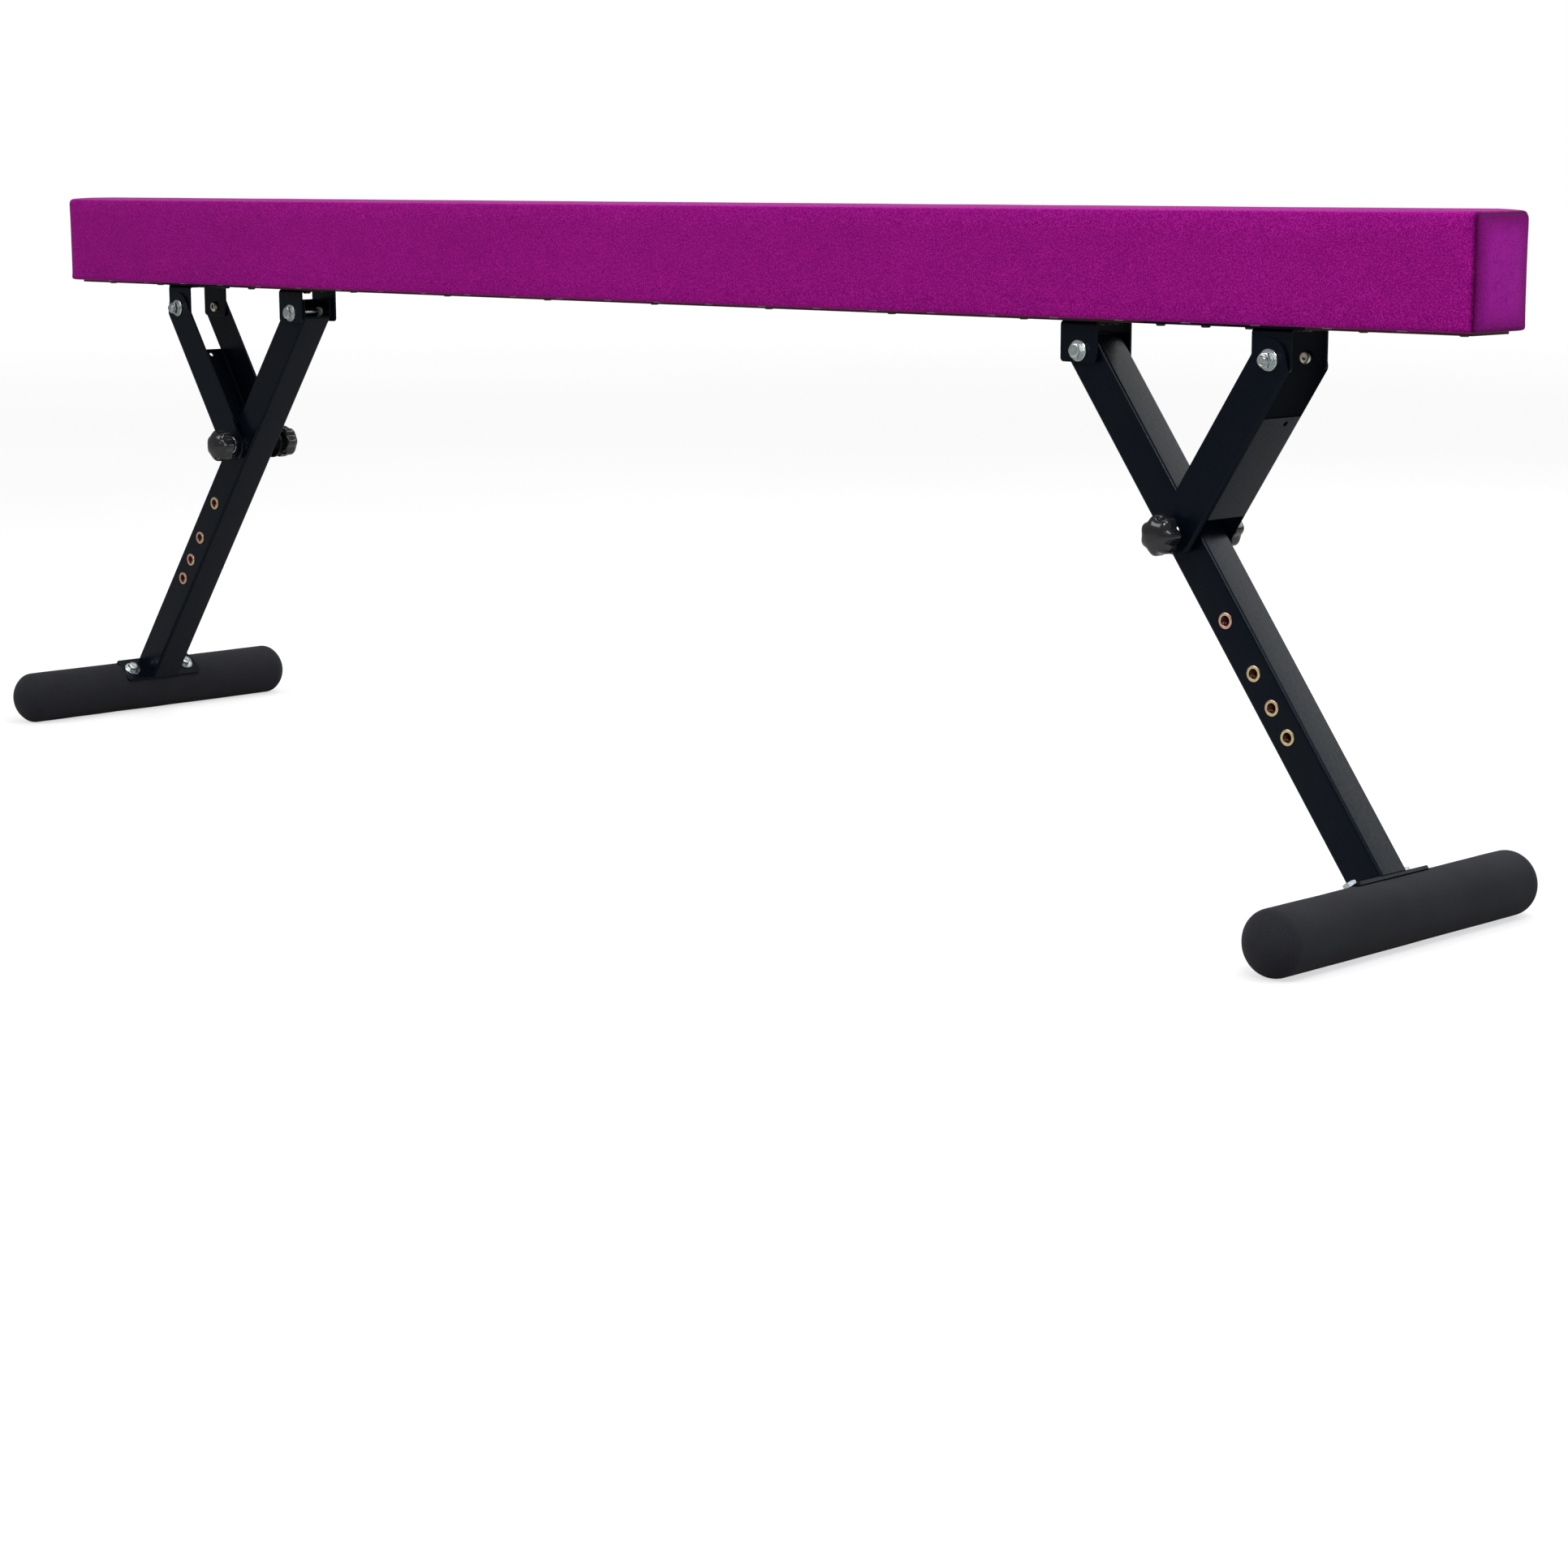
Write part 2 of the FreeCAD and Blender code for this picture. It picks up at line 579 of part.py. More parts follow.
def cheek_outline():
    """A cheek's outline in (s, n): round at hinge and knob, square towards the web."""
    radius = CHEEK_RADIUS
    reach = math.hypot(CHEEK_CORNER_OVERHANG, WEB_OUTER_N)
    corner_angle = math.atan2(WEB_OUTER_N, -CHEEK_CORNER_OVERHANG)
    touch = corner_angle + math.acos(radius / reach)
    middle = (touch + 1.5 * math.pi) / 2

    def at(angle, from_end):
        s = radius * math.cos(angle)
        return Vector(STRUT_LENGTH - s if from_end else s, 0, radius * math.sin(angle))

    corner = Vector(-CHEEK_CORNER_OVERHANG, 0, WEB_OUTER_N)
    far_corner = Vector(STRUT_LENGTH + CHEEK_CORNER_OVERHANG, 0, WEB_OUTER_N)
    edges = [
        Part.LineSegment(corner, at(touch, False)),
        Part.Arc(at(touch, False), at(middle, False), at(1.5 * math.pi, False)),
        Part.LineSegment(at(1.5 * math.pi, False), at(1.5 * math.pi, True)),
        Part.Arc(at(1.5 * math.pi, True), at(middle, True), at(touch, True)),
        Part.LineSegment(at(touch, True), far_corner),
        Part.LineSegment(far_corner, corner)]
    return Part.Face(Part.Wire([edge.toShape() for edge in edges]))


def strut():
    """A bent channel: two cheeks outside the leg, and a web over the middle stretch."""
    reach = 2 * CHEEK_RADIUS
    depth = 2 * WEB_OUTER_N
    channel = rounded_bar(-reach, STRUT_LENGTH + reach, CHEEK_OUTER_Y, WEB_OUTER_N, BEND_RADIUS)
    inside = rounded_bar(-reach, STRUT_LENGTH + reach, CHEEK_INNER_Y, WEB_OUTER_N - SHEET,
                         BEND_RADIUS - SHEET)
    below = box(-reach, STRUT_LENGTH + reach, -CHEEK_INNER_Y, CHEEK_INNER_Y, -depth, 0)
    channel = channel.cut([inside, below])
    openings = [box(s0, s1, -CHEEK_INNER_Y, CHEEK_INNER_Y, -depth, depth)
                for s0, s1 in ((-reach, WEB_START), (WEB_END, STRUT_LENGTH + reach))]
    outline = cheek_outline().extrude(Vector(0, 2 * CHEEK_OUTER_Y, 0))
    outline.translate(Vector(0, -CHEEK_OUTER_Y, 0))
    channel = channel.cut(openings).common(outline)
    pin_radius = BOLT_RADIUS + PIN_CLEARANCE
    holes = [along_y(s, 0, -CHEEK_OUTER_Y, CHEEK_OUTER_Y, pin_radius) for s in (0, STRUT_LENGTH)]
    holes.append(Part.makeCylinder(WEB_HOLE_RADIUS, WEB_OUTER_N,
                                   Vector(WEB_START + WEB_HOLE_INSET, WEB_HOLE_Y, SHEET)))
    return swing(channel.cut(holes), OUTER_PIVOT_X, STRUT_ANGLE)


def strut_spacers():
    """Nylon rings inside the cheeks that centre the leg and guide the knobs' studs."""
    ring = Part.makeCylinder(SPACER_RADIUS, CHEEK_INNER_Y - SPACER_INNER_Y)
    ring = ring.cut(Part.makeCylinder(BOLT_RADIUS + PIN_CLEARANCE, CHEEK_INNER_Y))
    pair = [face_y(ring, STRUT_LENGTH, side * SPACER_INNER_Y, 0, side) for side in (-1, 1)]
    return swing(group(pair), OUTER_PIVOT_X, STRUT_ANGLE)


def button_bolt():
    """A button-head bolt: head below z = 0 with a hexagon socket, shank above."""
    flat = BUTTON_RADIUS * 0.6
    crown_middle = ((BUTTON_RADIUS + flat) / 2 + 0.8, -(BUTTON_RIM + BUTTON_HEIGHT) / 2 - 0.3)
    head = turned_profile([
        (0, 0),
        (BUTTON_RADIUS, 0),
        (BUTTON_RADIUS, -BUTTON_RIM),
        crown_middle + (flat, -BUTTON_HEIGHT),
        (0, -BUTTON_HEIGHT),
        (0, 0)])
    socket = hexagon(BUTTON_SOCKET, BUTTON_SOCKET_DEPTH)
    socket.translate(Vector(0, 0, -BUTTON_HEIGHT))
    seat = CHEEK_OUTER_Y + GAP + WASHER_THICKNESS
    shank = bolt_shank(-(seat + THREAD_BEYOND_SEAT - OUTER_EAR_Y + SHEET), 0)
    shank.rotate(Vector(0, 0, 0), Vector(1, 0, 0), 180)
    return fused([head.cut(socket), shank])


def strut_bolts():
    """Two short bolts, because the folded leg lies between the outer bracket's ears."""
    bolt = button_bolt()
    return group([face_y(bolt, OUTER_PIVOT_X, side * (OUTER_EAR_Y - SHEET), PIVOT_Z, side)
                  for side in (-1, 1)])


def strut_washers():
    seat = CHEEK_OUTER_Y + GAP
    return group([face_y(washer(), OUTER_PIVOT_X, side * seat, PIVOT_Z, side)
                  for side in (-1, 1)])


def strut_nuts():
    seat = CHEEK_OUTER_Y + GAP + WASHER_THICKNESS
    return group([face_y(lock_nut(), OUTER_PIVOT_X, side * seat, PIVOT_Z, side)
                  for side in (-1, 1)])


# ---------------------------------------------------------------- knobs

def lobed_face():
    """A star outline of lobes and valleys, each arc tangent to the next."""
    step = math.pi / KNOB_LOBES
    lobe_ring = KNOB_RADIUS - LOBE_RADIUS
    reach = LOBE_RADIUS + VALLEY_RADIUS
    valley_ring = (lobe_ring * math.cos(step)
                   + math.sqrt(reach ** 2 - (lobe_ring * math.sin(step)) ** 2))

    def polar(radius, angle):
        return Vector(radius * math.cos(angle), radius * math.sin(angle), 0)

    def tangent_point(lobe_angle, valley_angle):
        lobe = polar(lobe_ring, lobe_angle)
        valley = polar(valley_ring, valley_angle)
        return lobe + (valley - lobe) * (LOBE_RADIUS / reach)

    edges = []
    for k in range(KNOB_LOBES):
        lobe_angle = 2 * step * k
        before = tangent_point(lobe_angle, lobe_angle - step)
        after = tangent_point(lobe_angle, lobe_angle + step)
        following = tangent_point(lobe_angle + 2 * step, lobe_angle + step)
        edges.append(Part.Arc(before, polar(KNOB_RADIUS, lobe_angle), after).toShape())
        edges.append(Part.Arc(after, polar(valley_ring - VALLEY_RADIUS, lobe_angle + step),
                              following).toShape())
    return Part.Face(Part.Wire(edges))


def knob():
    """A star knob: hub, lobed rim with a domed face, and a recess round the hub."""
    star = lobed_face().extrude(Vector(0, 0, KNOB_DEPTH))
    rim_top = KNOB_HUB_LENGTH + KNOB_RIM
    outer = KNOB_RADIUS + 1
    rounding_middle = (outer * 0.9, rim_top + (KNOB_DEPTH - rim_top) * 0.62)
    crown_middle = (KNOB_SHOULDER_RADIUS / 2, KNOB_DEPTH - KNOB_SHOULDER_DROP / 4)
    envelope = turned_profile([
        (0, KNOB_HUB_LENGTH),
        (outer - KNOB_EDGE_CHAMFER, KNOB_HUB_LENGTH),
        (outer, KNOB_HUB_LENGTH + KNOB_EDGE_CHAMFER),
        (outer, rim_top),
        rounding_middle + (KNOB_SHOULDER_RADIUS, KNOB_DEPTH - KNOB_SHOULDER_DROP),
        crown_middle + (0, KNOB_DEPTH),
        (0, KNOB_HUB_LENGTH)])
    head = star.common(envelope)
    recess = Part.makeCylinder(KNOB_RECESS_RADIUS, KNOB_RECESS_DEPTH, Vector(0, 0, KNOB_HUB_LENGTH))
    hub = Part.makeCone(KNOB_HUB_RADIUS, KNOB_HUB_RADIUS * 1.1, KNOB_HUB_LENGTH + KNOB_RECESS_DEPTH)
    whole = fused([head.cut(recess), hub])
    return whole.cut(Part.makeCylinder(BOLT_RADIUS, KNOB_HUB_LENGTH + KNOB_RECESS_DEPTH))


def knob_stud():
    """The threaded stud moulded into the knob, along +Z from its tip."""
    length = KNOB_BACK_Y + KNOB_HUB_LENGTH + KNOB_RECESS_DEPTH - STUD_TIP_Y
    return bolt_shank(0, length)


def at_knob(shape, y, side):
    """Put a part, drawn along +Z, at the strut's knob hole on the front or rear."""
    return swing(face_y(shape, STRUT_LENGTH, side * y, 0, side), OUTER_PIVOT_X, STRUT_ANGLE)


# ---------------------------------------------------------------- assembly

def right_hand_set():
    """Every node of the right-hand leg set."""
    nodes = {
        "inner_bracket": inner_bracket(),
        "outer_bracket": outer_bracket(),
        "mount_plate": mount_plate(),
        "bracket_screws": bracket_screws(),
        "leg_tube": leg_tube(),
        "leg_bushes": leg_bushes(),
        "leg_inserts": leg_inserts(),
        "foot_plate": foot_plate(),
        "foot_pipe": foot_pipe(),
        "foot_sleeve": foot_sleeve(),
        "foot_bolts": foot_bolts(),
        "foot_washers": foot_washers(),
        "hinge_bolt": hinge_bolt(),
        "hinge_washers": hinge_washers(),
        "hinge_nut": hinge_nut(),
        "strut": strut(),
        "strut_spacers": strut_spacers(),
        "strut_bolts": strut_bolts(),
        "strut_washers": strut_washers(),
        "strut_nuts": strut_nuts()}
    for place, side in (("front", -1), ("rear", 1)):
        nodes[place + "_knob"] = at_knob(knob(), KNOB_BACK_Y, side)
        nodes[place + "_knob_stud"] = at_knob(knob_stud(), STUD_TIP_Y, side)
        nodes[place + "_knob_washer"] = at_knob(washer(), CHEEK_OUTER_Y + GAP, side)
    return nodes


def all_nodes():
    nodes = {
        "beam_core": beam_core(),
        "beam_foam": beam_foam(),
        "beam_cover": beam_cover(),
        "cover_staples": cover_staples(),
        "bottom_slats": bottom_slats(),
        "slat_screws": slat_screws()}
    for name, shape in right_hand_set().items():
        nodes["right_" + name] = shape
        nodes["left_" + name] = shape.mirror(Vector(0, 0, 0), Vector(1, 0, 0))
    return nodes


os.makedirs("parts", exist_ok=True)
for node, solid in all_nodes().items():
    solid.exportStep("parts/" + node + ".step")
print("leg angle", round(LEG_ANGLE, 4), "strut angle", round(STRUT_ANGLE, 4),
      "pivot height", round(PIVOT_Z, 4), "beam top", round(BEAM_TOP, 4))
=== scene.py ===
import math

import bmesh
import bpy
import numpy as np
from mathutils import Matrix, Vector, noise


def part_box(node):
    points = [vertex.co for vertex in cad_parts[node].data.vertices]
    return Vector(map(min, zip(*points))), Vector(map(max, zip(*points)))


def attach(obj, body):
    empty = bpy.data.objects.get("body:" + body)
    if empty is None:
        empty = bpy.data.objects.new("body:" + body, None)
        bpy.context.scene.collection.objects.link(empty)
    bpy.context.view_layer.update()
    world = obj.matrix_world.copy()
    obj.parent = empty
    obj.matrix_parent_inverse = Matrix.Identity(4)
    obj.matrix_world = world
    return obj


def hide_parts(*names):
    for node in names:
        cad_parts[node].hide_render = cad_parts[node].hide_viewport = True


# The looks of a padded balance beam on two folding legs. Everything is in metres, in the frame
# of the CAD model: origin on the floor under the beam's centre, +X along it, -Y its front.

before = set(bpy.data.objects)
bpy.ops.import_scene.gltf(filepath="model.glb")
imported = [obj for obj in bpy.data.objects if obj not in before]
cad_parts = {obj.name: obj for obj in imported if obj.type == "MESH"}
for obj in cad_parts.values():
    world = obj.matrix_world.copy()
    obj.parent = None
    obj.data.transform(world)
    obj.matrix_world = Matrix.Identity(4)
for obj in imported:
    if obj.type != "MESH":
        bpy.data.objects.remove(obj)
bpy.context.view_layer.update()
scene = bpy.context.scene

LEG_SETS = ("right", "left")
PLACES = {"front": -1, "rear": 1}           # knobs and washers, by the sign of Y

# Cover.
COVER_EDGE_RADIUS = 0.0075
COVER_LOWER_RADIUS = 0.003
COVER_SKIN = 0.0012
SWELL_SIDE = 0.0014                         # how far the padding pushes the cloth out
SWELL_END = 0.0044
SWELL_UNDER = 0.0007
END_ZONE = 0.03                             # length over which the swell grows to SWELL_END
GRID_STEP = 0.011
SEAM_GRID = (0.0, 0.0016, 0.0032, 0.0046, 0.0055, 0.0061, 0.0067, 0.0073, 0.0081, 0.0098, 0.0125)
EDGE_GRID = (0.0, 0.0018, 0.0042, 0.0076)
SEAM_INSET = 0.0067                         # seam to the beam's end
SEAM_DEPTH = 0.0016
SEAM_HALF_WIDTH = 0.0010
SEAM_PUCKER = 0.2                           # share by which the seam's depth varies
PUCKER_RATE = 900                           # radians per metre along the seam
WAVE_HEIGHT = 0.00022                       # slow unevenness of the cloth
ROLL_HEIGHT = 0.0045                        # the rolled lower edge, above the underside
ROLL_SPREAD = 0.0025
ROLL_BULGE = 0.0006
ROLL_ZONE = (0.0005, 0.012)
ROLL_FROM_Y = 0.04
SEAM_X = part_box("beam_cover")[1].x - SEAM_INSET
FLAP_INNER_Y = 0.0295
FLAP_END_INSET = 0.034
FLAP_GRIP = 0.002                           # cloth held beyond the flap's inner edge
STAPLE_Y = 0.036
STAPLE_HALF_WIDTH = 0.006
STAPLE_STEP = 0.090
SIMULATED_FRAMES = 20
FOAM_OUTSIDE = 0.004                        # further past the core than this is the foam's outside
FOAM_PRESS = (0.0070, 0.0035, 0.0035)       # its outside is drawn in this much, to stay hidden

# Hardware, 3/8 inch.
BOLT_RADIUS = 0.00475
THREAD_PITCH = 0.0254 / 16
THREAD_DEPTH = 0.0008
THREAD_SIDES = 36
THREAD_ROWS = 8                             # rings per turn
HINGE_THREAD = 0.022                        # threaded stretch of the hinge bolt
HEX_ACROSS_FLATS = 0.0143
WASHER_THICKNESS = 0.0016
NUT_COLLAR = 0.0028
BUTTON_HEIGHT = 0.004
BUTTON_RADIUS = 0.0072
BUTTON_TOP_RADIUS = 0.0043
BUTTON_RIM = 0.0012
BUTTON_SHANK = 0.004                        # plain stretch under the head
SOCKET_HALF_WIDTH = 0.00275
SOCKET_DEPTH = 0.0026
INSERT_BORE = 0.0040
INSERT_MOUTH = 0.0056
INSERT_DEPTH = 0.011
INSERT_THREAD_START = 0.0006
INSERT_BODY_RADIUS = 0.00575
INSERT_CRIMP_RADIUS = 0.0072
INSERT_FLANGE_RADIUS = 0.00875
INSERT_FLANGE = 0.0015

# Knobs.
KNOB_LOBES = 7
KNOB_RADIUS = 0.0225
KNOB_VALLEY = 0.0190
KNOB_HUB_RADIUS = 0.0105
KNOB_HUB_LENGTH = 0.009
KNOB_RECESS_RADIUS = 0.0155
KNOB_RECESS_DEPTH = 0.005
KNOB_RIM = 0.010
POINTS_PER_LOBE = 20
STUD_ROOT = 0.004                           # how far the stud reaches into the knob

# Feet.
FOOT_KNUCKLE = 0.020
FOOT_DOME = 0.028
FOOT_SAG = 0.0003                           # the foam spreads this much under the load
FOOT_SIDES = 120
FOOT_UNEVENNESS = 0.00035
PLATE_GAP = 0.0003                          # between foot plate and foam
PLATE_MARGIN = 0.0008                       # foam pressed in beyond the plate's edges
PLATE_RAMP = 0.002                          # length over which the foam rises beside the plate
FLOOR_GAP = 0.00005

EASED_EDGE = 0.0006                         # rounding of sheet metal edges under the paint

# Studio.
FLOOR_RADIUS = 60
FLOOR_FADE = 14.0                           # distance at which the floor turns into the surround
NEAR_FLOOR_GLOW = 0.62
FAR_FLOOR_GLOW = 0.80
SOFT_LIGHT = 0.60
MIRRORED_LIGHT = 0.22


# ---------------------------------------------------------------- places from the frame

def centre(node):
    low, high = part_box(node)
    return (low + high) / 2


def half_box(node, side):
    """Corners of the part of a node that lies in front of (-1) or behind (+1) the centre plane."""
    points = np.array([v.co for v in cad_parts[node].data.vertices])
    points = points[points[:, 1] * side > 0]
    return Vector(points.min(0)), Vector(points.max(0))


def near_and_far(box, side):
    """The Y of a box's face next to the centre plane, and of the face away from it."""
    low, high = box
    return (low.y, high.y) if side > 0 else (high.y, low.y)


def facing(x, y, z, side):
    """Stands a part, made along +Z, on a face at y whose outward side is -Y or +Y."""
    outward = Vector((0, side, 0))
    across = outward.cross(Vector((1, 0, 0)))
    turn = Matrix((Vector((1, 0, 0)), across, outward)).transposed()
    return Matrix.Translation((x, y, z)) @ turn.to_4x4()


def leg_axis(name):
    """The hinge's centre and the direction from it to the foot's centre."""
    hinge = centre(name + "_hinge_washers")
    foot = centre(name + "_foot_pipe")
    return hinge, (foot - hinge).normalized()


# ---------------------------------------------------------------- mesh building

def loft(rings, loop=False, caps=(True, True)):
    """Vertices and faces of a skin through rings that all have the same number of points."""
    count = len(rings[0])
    verts = [tuple(p) for ring in rings for p in ring]
    faces = []
    for k in range(len(rings) if loop else len(rings) - 1):
        low = k * count
        high = (k + 1) % len(rings) * count
        for i in range(count):
            j = (i + 1) % count
            faces.append((low + i, low + j, high + j, high + i))
    if not loop and caps[0]:
        faces.append(tuple(reversed(range(count))))
    if not loop and caps[1]:
        faces.append(tuple(range((len(rings) - 1) * count, len(rings) * count)))
    return verts, faces


def circle(radius, height, count):
    angles = [2 * math.pi * k / count for k in range(count)]
    return [(radius * math.cos(a), radius * math.sin(a), height) for a in angles]


def turned(profile, count=48, loop=False, caps=(True, True)):
    """A turned part from (radius, height) points."""
    return loft([circle(r, h, count) for r, h in profile], loop, caps)


def threaded(z0, z1, radius):
    """A threaded rod along +Z, whose ridge runs out over its last turn."""
    steps = int((z1 - z0) / THREAD_PITCH * THREAD_ROWS)
    rings = []
    for k in range(steps + 1):
        height = z0 + (z1 - z0) * k / steps
        ring = []
        for i in range(THREAD_SIDES):
            turn = (height / THREAD_PITCH + i / THREAD_SIDES) % 1
            ridge = abs(2 * turn - 1)
            fade = min(1, (z1 - height) / THREAD_PITCH)
            r = radius - THREAD_DEPTH * (1 - fade * ridge)
            angle = 2 * math.pi * i / THREAD_SIDES
            ring.append((r * math.cos(angle), r * math.sin(angle), height))
        rings.append(ring)
    return loft(rings)


def hexagon_body(across_flats, height, both=False):
    """A hexagon whose top corners, or both ends, are turned down at thirty degrees."""
    count = 72
    flat_radius = across_flats / 2 * 0.95
    reach = []
    for i in range(count):
        angle = (2 * math.pi * i / count) % (math.pi / 3) - math.pi / 6
        reach.append(across_flats / 2 / math.cos(angle))
    drop = [(r - flat_radius) * math.tan(math.radians(30)) for r in reach]

    def ring(radii, heights):
        return [(r * math.cos(2 * math.pi * i / count), r * math.sin(2 * math.pi * i / count), h)
                for i, (r, h) in enumerate(zip(radii, heights))]

    rings = []
    if both:
        rings.append(ring([flat_radius] * count, [0] * count))
        rings.append(ring(reach, drop))
    else:
        rings.append(ring(reach, [0] * count))
    rings.append(ring(reach, [height - d for d in drop]))
    rings.append(ring([flat_radius] * count, [height] * count))
    rings.append(ring([flat_radius * 0.6] * count, [height - 0.0001] * count))
    return loft(rings)


def add_part(mesh, part, place=Matrix.Identity(4), material=0):
    """Adds a part's vertices and faces to a bmesh, placed by a matrix."""
    verts, faces = part
    new = [mesh.verts.new(place @ Vector(v)) for v in verts]
    for corners in faces:
        face = mesh.faces.new([new[i] for i in corners])
        face.material_index = material
        face.smooth = True


def finish_piece(name, mesh, body, materials, replaced=(), sharp=35):
    """Turns a bmesh into an object that rides on a body and stands for CAD nodes."""
    bmesh.ops.recalc_face_normals(mesh, faces=mesh.faces)
    data = bpy.data.meshes.new(name)
    mesh.to_mesh(data)
    mesh.free()
    piece = bpy.data.objects.new(name, data)
    scene.collection.objects.link(piece)
    for surface in materials:
        data.materials.append(surface)
    data.set_sharp_from_angle(angle=math.radians(sharp))
    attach(piece, body)
    if replaced:
        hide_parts(*replaced)
    return piece


# ---------------------------------------------------------------- materials

class Surface:
    """A procedural material, built up in object coordinates, in metres."""

    def __init__(self, name, **sockets):
        self.material = bpy.data.materials.new(name)
        self.material.use_nodes = True
        self.tree = self.material.node_tree
        self.shader = self.tree.nodes["Principled BSDF"]
        for socket, value in sockets.items():
            self.shader.inputs[socket.replace("_", " ")].default_value = value
        self.place = self.tree.nodes.new("ShaderNodeTexCoord").outputs["Object"]

    def stretched(self, stretch):
        mapping = self.tree.nodes.new("ShaderNodeMapping")
        mapping.inputs["Scale"].default_value = stretch
        self.tree.links.new(self.place, mapping.inputs["Vector"])
        return mapping.outputs["Vector"]

    def noise(self, scale, detail=2.0, distortion=0.0, stretch=(1, 1, 1)):
        node = self.tree.nodes.new("ShaderNodeTexNoise")
        node.inputs["Scale"].default_value = scale
        node.inputs["Detail"].default_value = detail
        node.inputs["Distortion"].default_value = distortion
        self.tree.links.new(self.stretched(stretch), node.inputs["Vector"])
        return node.outputs["Fac"]

    def cells(self, scale):
        node = self.tree.nodes.new("ShaderNodeTexVoronoi")
        node.inputs["Scale"].default_value = scale
        self.tree.links.new(self.place, node.inputs["Vector"])
        return node.outputs["Distance"]

    def along_x(self):
        """Distance from the middle of the object along X."""
        parts = self.tree.nodes.new("ShaderNodeSeparateXYZ")
        self.tree.links.new(self.place, parts.inputs["Vector"])
        return self.maths("ABSOLUTE", parts.outputs["X"])

    def maths(self, operation, first, second=0.0):
        node = self.tree.nodes.new("ShaderNodeMath")
        node.operation = operation
        for socket, value in zip(node.inputs, (first, second)):
            if isinstance(value, (int, float)):
                socket.default_value = value
            else:
                self.tree.links.new(value, socket)
        return node.outputs["Value"]

    def ramp(self, value, *stops):
        """Colours or greys by value: each stop is (position, colour)."""
        node = self.tree.nodes.new("ShaderNodeValToRGB")
        elements = node.color_ramp.elements
        while len(elements) < len(stops):
            elements.new(0.5)
        for element, (position, colour) in zip(elements, stops):
            element.position = position
            element.color = (*colour, 1) if isinstance(colour, tuple) else (colour,) * 3 + (1,)
        self.tree.links.new(value, node.inputs["Fac"])
        return node.outputs["Color"]

    def mixed(self, factor, first, second, mode="MIX"):
        node = self.tree.nodes.new("ShaderNodeMixRGB")
        node.blend_type = mode
        for socket, value in zip(node.inputs, (factor, first, second)):
            if isinstance(value, tuple):
                socket.default_value = (*value, 1)
            elif isinstance(value, (int, float)):
                socket.default_value = value
            else:
                self.tree.links.new(value, socket)
        return node.outputs["Color"]

    def feed(self, socket, value):
        self.tree.links.new(value, self.shader.inputs[socket])

    def bump(self, *layers):
        """Stacks bump layers, each a (height, strength, distance in metres)."""
        normal = None
        for height, strength, distance in layers:
            node = self.tree.nodes.new("ShaderNodeBump")
            node.inputs["Strength"].default_value = strength
            node.inputs["Distance"].default_value = distance
            self.tree.links.new(height, node.inputs["Height"])
            if normal is not None:
                self.tree.links.new(normal, node.inputs["Normal"])
            normal = node.outputs["Normal"]
        self.tree.links.new(normal, self.shader.inputs["Normal"])


def suede():
    """Brushed purple cloth: fine nap, slow uneven tone, painted shade in the seam groove with a painted
    highlight on the welt beside it, and an end panel painted lighter and more violet, partly its own
    nap and partly painted sheen and bluish side light.
    """
    s = Surface("purple_suede", Specular_IOR_Level=0.06, Sheen_Weight=0.30, Sheen_Roughness=0.28,
                Sheen_Tint=(1.0, 0.42, 0.86, 1))
    nap = s.noise(720, 0.4, 0.7)
    front = s.ramp(nap, (0.38, (0.205, 0.0003, 0.142)), (0.52, (0.272, 0.0020, 0.190)),
                   (0.62, (0.370, 0.012, 0.255)))
    # The end panel's colours are lighter and more violet than the front's. This is partly the panel's
    # own nap, and partly painted sheen and painted bluish light from the right.
    end = s.ramp(s.noise(620, 2.0), (0.30, (0.215, 0.004, 0.190)), (0.46, (0.320, 0.009, 0.275)),
                 (0.7, (0.375, 0.018, 0.310)))
    past_seam = s.maths("SUBTRACT", s.along_x(), SEAM_X)
    panels = s.mixed(s.ramp(past_seam, (0.0, 0.0), (0.0007, 1.0)), front, end)
    # Painted highlight: a lighter band along the rounded welt just past the seam.
    painted_welt_highlight = s.ramp(past_seam, (0.0016, 0.0), (0.0021, 0.65), (0.0031, 0.0))
    panels = s.mixed(painted_welt_highlight, panels, (0.44, 0.055, 0.37))
    # Painted shade: the seam groove is darkened in the colour, on top of the groove that shape_cover
    # presses in.
    seam_groove_shade = s.ramp(s.maths("ABSOLUTE", past_seam), (0.0008, (0.20, 0.10, 0.18)),
                  (0.0015, (1, 1, 1)))
    slow = s.ramp(s.noise(5.5, 3.0, 0.4, (0.5, 1, 1)), (0.3, (0.90, 0.88, 0.90)),
                  (0.7, (1.0, 1.0, 1.0)))
    patch = s.ramp(s.noise(38, 3.0, 0.6), (0.3, (0.91, 0.88, 0.92)), (0.7, (1.0, 1.0, 1.0)))
    colour = panels
    for shade in (seam_groove_shade, slow, patch):
        colour = s.mixed(1.0, colour, shade, "MULTIPLY")
    s.feed("Base Color", colour)
    s.feed("Roughness", s.ramp(s.noise(60, 2.0), (0.3, 0.86), (0.7, 0.96)))
    s.bump((nap, 0.30, 0.0006), (s.noise(2600, 3.0), 0.25, 0.0002))
    return s.material


def black_paint():
    """Satin black powder coat with a faint orange peel."""
    s = Surface("black_powder_coat", IOR=1.22, Specular_IOR_Level=0.6,
                Specular_Tint=(0.75, 0.88, 1.0, 1))
    cloud = s.noise(14, 3.0, 0.5)
    s.feed("Base Color", s.ramp(cloud, (0.3, (0.0010, 0.0026, 0.0066)),
                                (0.7, (0.0026, 0.0036, 0.0062))))
    s.feed("Roughness", s.ramp(s.noise(220, 4.0), (0.3, 0.24), (0.7, 0.32)))
    s.bump((s.noise(700, 1.5), 0.10, 0.00035), (s.noise(4000, 1.0), 0.06, 0.00008))
    return s.material


